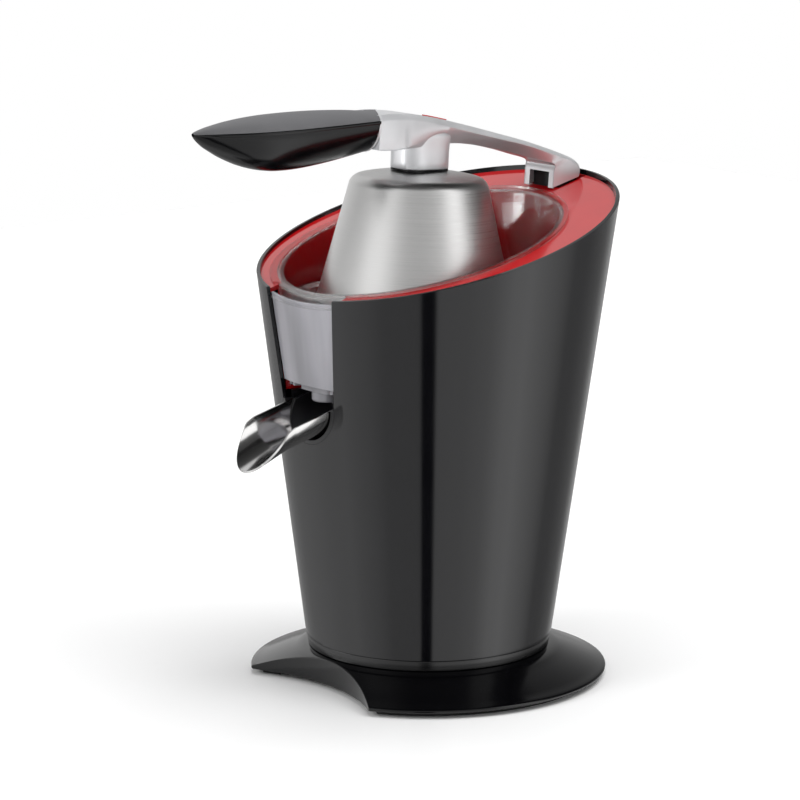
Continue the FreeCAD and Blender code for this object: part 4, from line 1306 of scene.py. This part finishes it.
# ------------------------------------------------------------------ studio
@dataclass
class Studio:
    """Pale floor, soft lights, sheets that only mirrors show, and the camera."""

    camera_at: Place = (1616.6, -1289.4, 587.4)
    target: Place = (0.0, 0.0, 170.0)
    lens: float = 162.4
    shift: tuple = (-0.0353, -0.0147)
    floor_half: float = 1.6
    body_low: float = 18.0
    body_high: float = 420.0
    camera_azimuth: float = -38.6
    # (azimuth in degrees, brightness) of the walls
    walls: tuple = ((-180, 0.85), (-150, 0.5), (-124, 0.5), (-102, 1.3), (-84, 1.3), (-60, 0.5),
                    (-30, 0.5),
                    (4, 0.6), (16, 1.8), (32, 1.7), (44, 0.25), (66, 0.03), (112, 0.1), (134,
                                                                                         0.5), (156, 0.85),
                    (180, 0.85))
    # (sine of the elevation, factor) from below to the zenith
    heights: tuple = ((-1.0, 0.9), (0.0, 1.0), (0.7, 1.0), (0.78, 0.1), (1.0, 0.04))
    # (angle on the body off the camera's side, brightness) of the card that the body mirrors
    card_tones: tuple = ((-90, 0.3), (-72, 0.42), (-65, 0.52), (-50, 0.95), (-34, 1.2), (-22, 0.95),
                         (-16, 0.74),
                         (-3.8, 0.72), (-3.0, 0.0), (1.1, 0.0), (1.9, 1.05), (12, 1.12), (20,
                                                                                          1.33), (27, 1.85),
                         (33, 1.9), (41, 1.3), (45, 1.0), (52, 0.45), (58, 0.34), (70, 0.31), (78, 0.5),
                         (90, 0.3))

    def aimed(self, place: Place) -> Matrix:
        """Matrix of a thing that stands at a place in mm and looks at the target."""
        at = Vector(place) * MM
        turn = (Vector(self.target) * MM - at).to_track_quat("-Z", "Y")
        return Matrix.Translation(at) @ turn.to_matrix().to_4x4()

    def camera(self) -> None:
        """Set the camera."""
        data = bpy.data.cameras.new("studio_camera")
        data.lens = self.lens
        data.sensor_width = 36.0
        data.shift_x, data.shift_y = self.shift
        data.clip_start = 0.05
        data.clip_end = 60.0
        camera = bpy.data.objects.new("studio_camera", data)
        camera.matrix_world = self.aimed(self.camera_at)
        bpy.context.collection.objects.link(camera)
        bpy.context.scene.camera = camera

    def floor(self) -> None:
        """Pale floor that glows a little towards its edges, as a lit sweep does."""
        bm = bmesh.new()
        bmesh.ops.create_grid(bm, x_segments=2, y_segments=2, size=self.floor_half)
        piece = linked(bm, "studio_floor")
        recipe = Recipe("pale floor paint")
        recipe.constants(Roughness=0.9, Specular_IOR_Level=0.2, Emission_Color=(1, 1, 1, 1))
        recipe.tint(recipe.grain((1, 1, 1), 3.0), (0.93, 0.93, 0.93), (0.95, 0.95, 0.95))
        coords = add_node(recipe.nodes, "TexCoord")
        distance = add_node(recipe.nodes, "VectorMath")
        distance.operation = "LENGTH"
        recipe.links.new(coords.outputs["Object"], distance.inputs[0])
        glow = add_node(recipe.nodes, "MapRange", From_Min=0.35, From_Max=1.3, To_Max=0.16)
        recipe.links.new(distance.outputs["Value"], glow.inputs["Value"])
        recipe.links.new(glow.outputs["Result"], recipe.shader.inputs["Emission Strength"])
        piece.data.materials.append(recipe.material)

    def mirrored(self, side: float, height: float) -> Place:
        """Place on the floor that the body mirrors.

        Args:
            side: angle in degrees on the body, off the side that faces the camera.
            height: height on the body.

        Returns:
            The place, just over the floor.
        """
        camera, angle = math.radians(self.camera_azimuth), math.radians(self.camera_azimuth + side)
        facing = 0.97 * math.cos(math.radians(side)) - 0.027
        fall = 0.191 + 0.266 * math.cos(math.radians(side))
        out, back = 70.0 + height * (0.137 + 1.98 * facing / fall), 0.98 * height / fall
        return (out * math.cos(angle) - back * math.cos(camera),
                out * math.sin(angle) - back * math.sin(camera), 1.0)

    def card(self) -> None:
        """Card on the floor that only shows in reflections, as the body's light and dark bands."""
        columns, rows = 120, 12

        def place(column: int, row: int) -> Place:
            height = between(self.body_low, self.body_high, row / rows)
            return self.mirrored(between(-90.0, 90.0, column / columns), height)

        recipe = self.reflector(warped_grid(columns, rows, place), "studio_card", 2.0)
        coords = add_node(recipe.nodes, "TexCoord")
        parts = add_node(recipe.nodes, "SeparateXYZ")
        recipe.links.new(coords.outputs["UV"], parts.inputs["Vector"])
        tones = self.ramp(recipe.nodes, [(side, tone / 2) for side, tone in self.card_tones],
                          -90.0, 90.0)
        recipe.links.new(parts.outputs["X"], tones.inputs["Fac"])
        recipe.links.new(tones.outputs["Color"], recipe.shader.inputs["Emission Color"])

    def reflector(self, bm: Mesh, name: str, brightness: float) -> Recipe:
        """Stand a mesh in the studio as a glowing white sheet that only mirrors show."""
        piece = linked(bm, name)
        recipe = Recipe(f"{name} sheet")
        recipe.constants(Base_Color=(0, 0, 0, 1), Roughness=1.0, Specular_IOR_Level=0.0,
                         Emission_Color=(1, 1, 1, 1), Emission_Strength=brightness)
        piece.data.materials.append(recipe.material)
        for hidden_from in ("camera", "diffuse", "shadow", "transmission"):
            setattr(piece, f"visible_{hidden_from}", False)
        return recipe

    def board(self, azimuth: float, width: float, low_z: float, high_z: float,
              brightness: float) -> None:
        """Upright board that only shows in reflections, and lights up the wall of the bowl.

        Args:
            azimuth: its direction from the middle in degrees.
            width: its width in mm.
            low_z: height of its lower edge in mm.
            high_z: height of its upper edge in mm.
            brightness: how much light it gives.
        """
        away = 1400.0

        def place(column: int, row: int) -> Place:
            turn, side = math.radians(azimuth), width * (column / 2 - 0.5)
            return (away * math.cos(turn) - side * math.sin(turn),
                    away * math.sin(turn) + side * math.cos(turn), between(low_z, high_z, row / 2))

        self.reflector(warped_grid(2, 2, place), "studio_board", brightness)

    def ramp(self, nodes: bpy.types.Nodes, stops: Sequence[tuple[float, float]], low: float,
             high: float) -> bpy.types.Node:
        """Grey colour ramp through (place, value) stops between low and high."""
        ramp = add_node(nodes, "ValToRGB")
        elements = ramp.color_ramp.elements
        while len(elements) < len(stops):
            elements.new(0.5)
        # every position first, because a moved element changes its place in the row
        for element, (at, _) in zip(elements, stops):
            element.position = (at - low) / (high - low)
        for element, (_, value) in zip(elements, stops):
            element.color = (value, value, value, 1.0)
        return ramp

    def world(self) -> None:
        """Soft surroundings: bright walls by azimuth, dimmer towards the zenith."""
        world = bpy.data.worlds.new("studio_world")
        bpy.context.scene.world = world
        world.use_nodes = True
        nodes, links = world.node_tree.nodes, world.node_tree.links
        coords = add_node(nodes, "TexCoord")
        parts = add_node(nodes, "SeparateXYZ")
        links.new(coords.outputs["Generated"], parts.inputs["Vector"])
        turn = add_node(nodes, "Math")
        turn.operation = "ARCTAN2"
        links.new(parts.outputs["Y"], turn.inputs[0])
        links.new(parts.outputs["X"], turn.inputs[1])
        azimuth = add_node(nodes, "MapRange", From_Min=-math.pi, From_Max=math.pi)
        links.new(turn.outputs["Value"], azimuth.inputs["Value"])
        walls = self.ramp(nodes, self.walls, -180.0, 180.0)
        links.new(azimuth.outputs["Result"], walls.inputs["Fac"])
        rise = add_node(nodes, "MapRange", From_Min=-1.0, From_Max=1.0)
        links.new(parts.outputs["Z"], rise.inputs["Value"])
        heights = self.ramp(nodes, self.heights, -1.0, 1.0)
        links.new(rise.outputs["Result"], heights.inputs["Fac"])
        both = add_node(nodes, "VectorMath")
        both.operation = "MULTIPLY"
        links.new(walls.outputs["Color"], both.inputs[0])
        links.new(heights.outputs["Color"], both.inputs[1])
        links.new(both.outputs["Vector"], nodes["Background"].inputs["Color"])
        backdrop = add_node(nodes, "Background", Color=(1.0, 1.0, 1.0, 1.0))
        path = add_node(nodes, "LightPath")
        choice = add_node(nodes, "MixShader")
        links.new(path.outputs["Is Camera Ray"], choice.inputs[0])
        links.new(nodes["Background"].outputs["Background"], choice.inputs[1])
        links.new(backdrop.outputs["Background"], choice.inputs[2])
        links.new(choice.outputs["Shader"], nodes["World Output"].inputs["Surface"])

    def lamp(self, name: str, place: Place, size: float, watts: float, in_reflections: bool) -> None:
        """Square soft lamp aimed at the machine.

        Args:
            name: the lamp's name.
            place: where it hangs, in mm.
            size: its side in mm.
            watts: its power.
            in_reflections: whether glossy pieces mirror it.
        """
        data = bpy.data.lights.new(name, "AREA")
        data.shape = "SQUARE"
        data.size = size * MM
        data.energy = watts
        lamp = bpy.data.objects.new(name, data)
        lamp.matrix_world = self.aimed(place)
        lamp.visible_glossy = in_reflections
        bpy.context.collection.objects.link(lamp)

    def build(self) -> None:
        """Set up the whole studio."""
        bpy.context.scene.view_settings.view_transform = "Standard"
        self.camera()
        self.floor()
        self.world()
        self.card()
        self.board(-126.0, 560.0, 60.0, 330.0, 5.0)
        self.lamp("overhead", (300.0, 700.0, 3000.0), 3400.0, 108.0, False)
        self.lamp("front_left", (-500.0, -2200.0, 1400.0), 900.0, 14.0, False)


def main() -> None:
    """Dress the frame, build the pieces and the studio, and log each piece's face count."""
    logging.basicConfig(level=logging.INFO, format="%(name)s %(message)s")
    shop = Workshop()
    shop.dress_frame()
    housing = Housing()
    for maker in (housing, Base(), Deck(housing), Bowl(housing), Cone(), Lever(), Spout()):
        maker.build(shop)
    Studio().build()


if __name__ == "__main__":
    main()
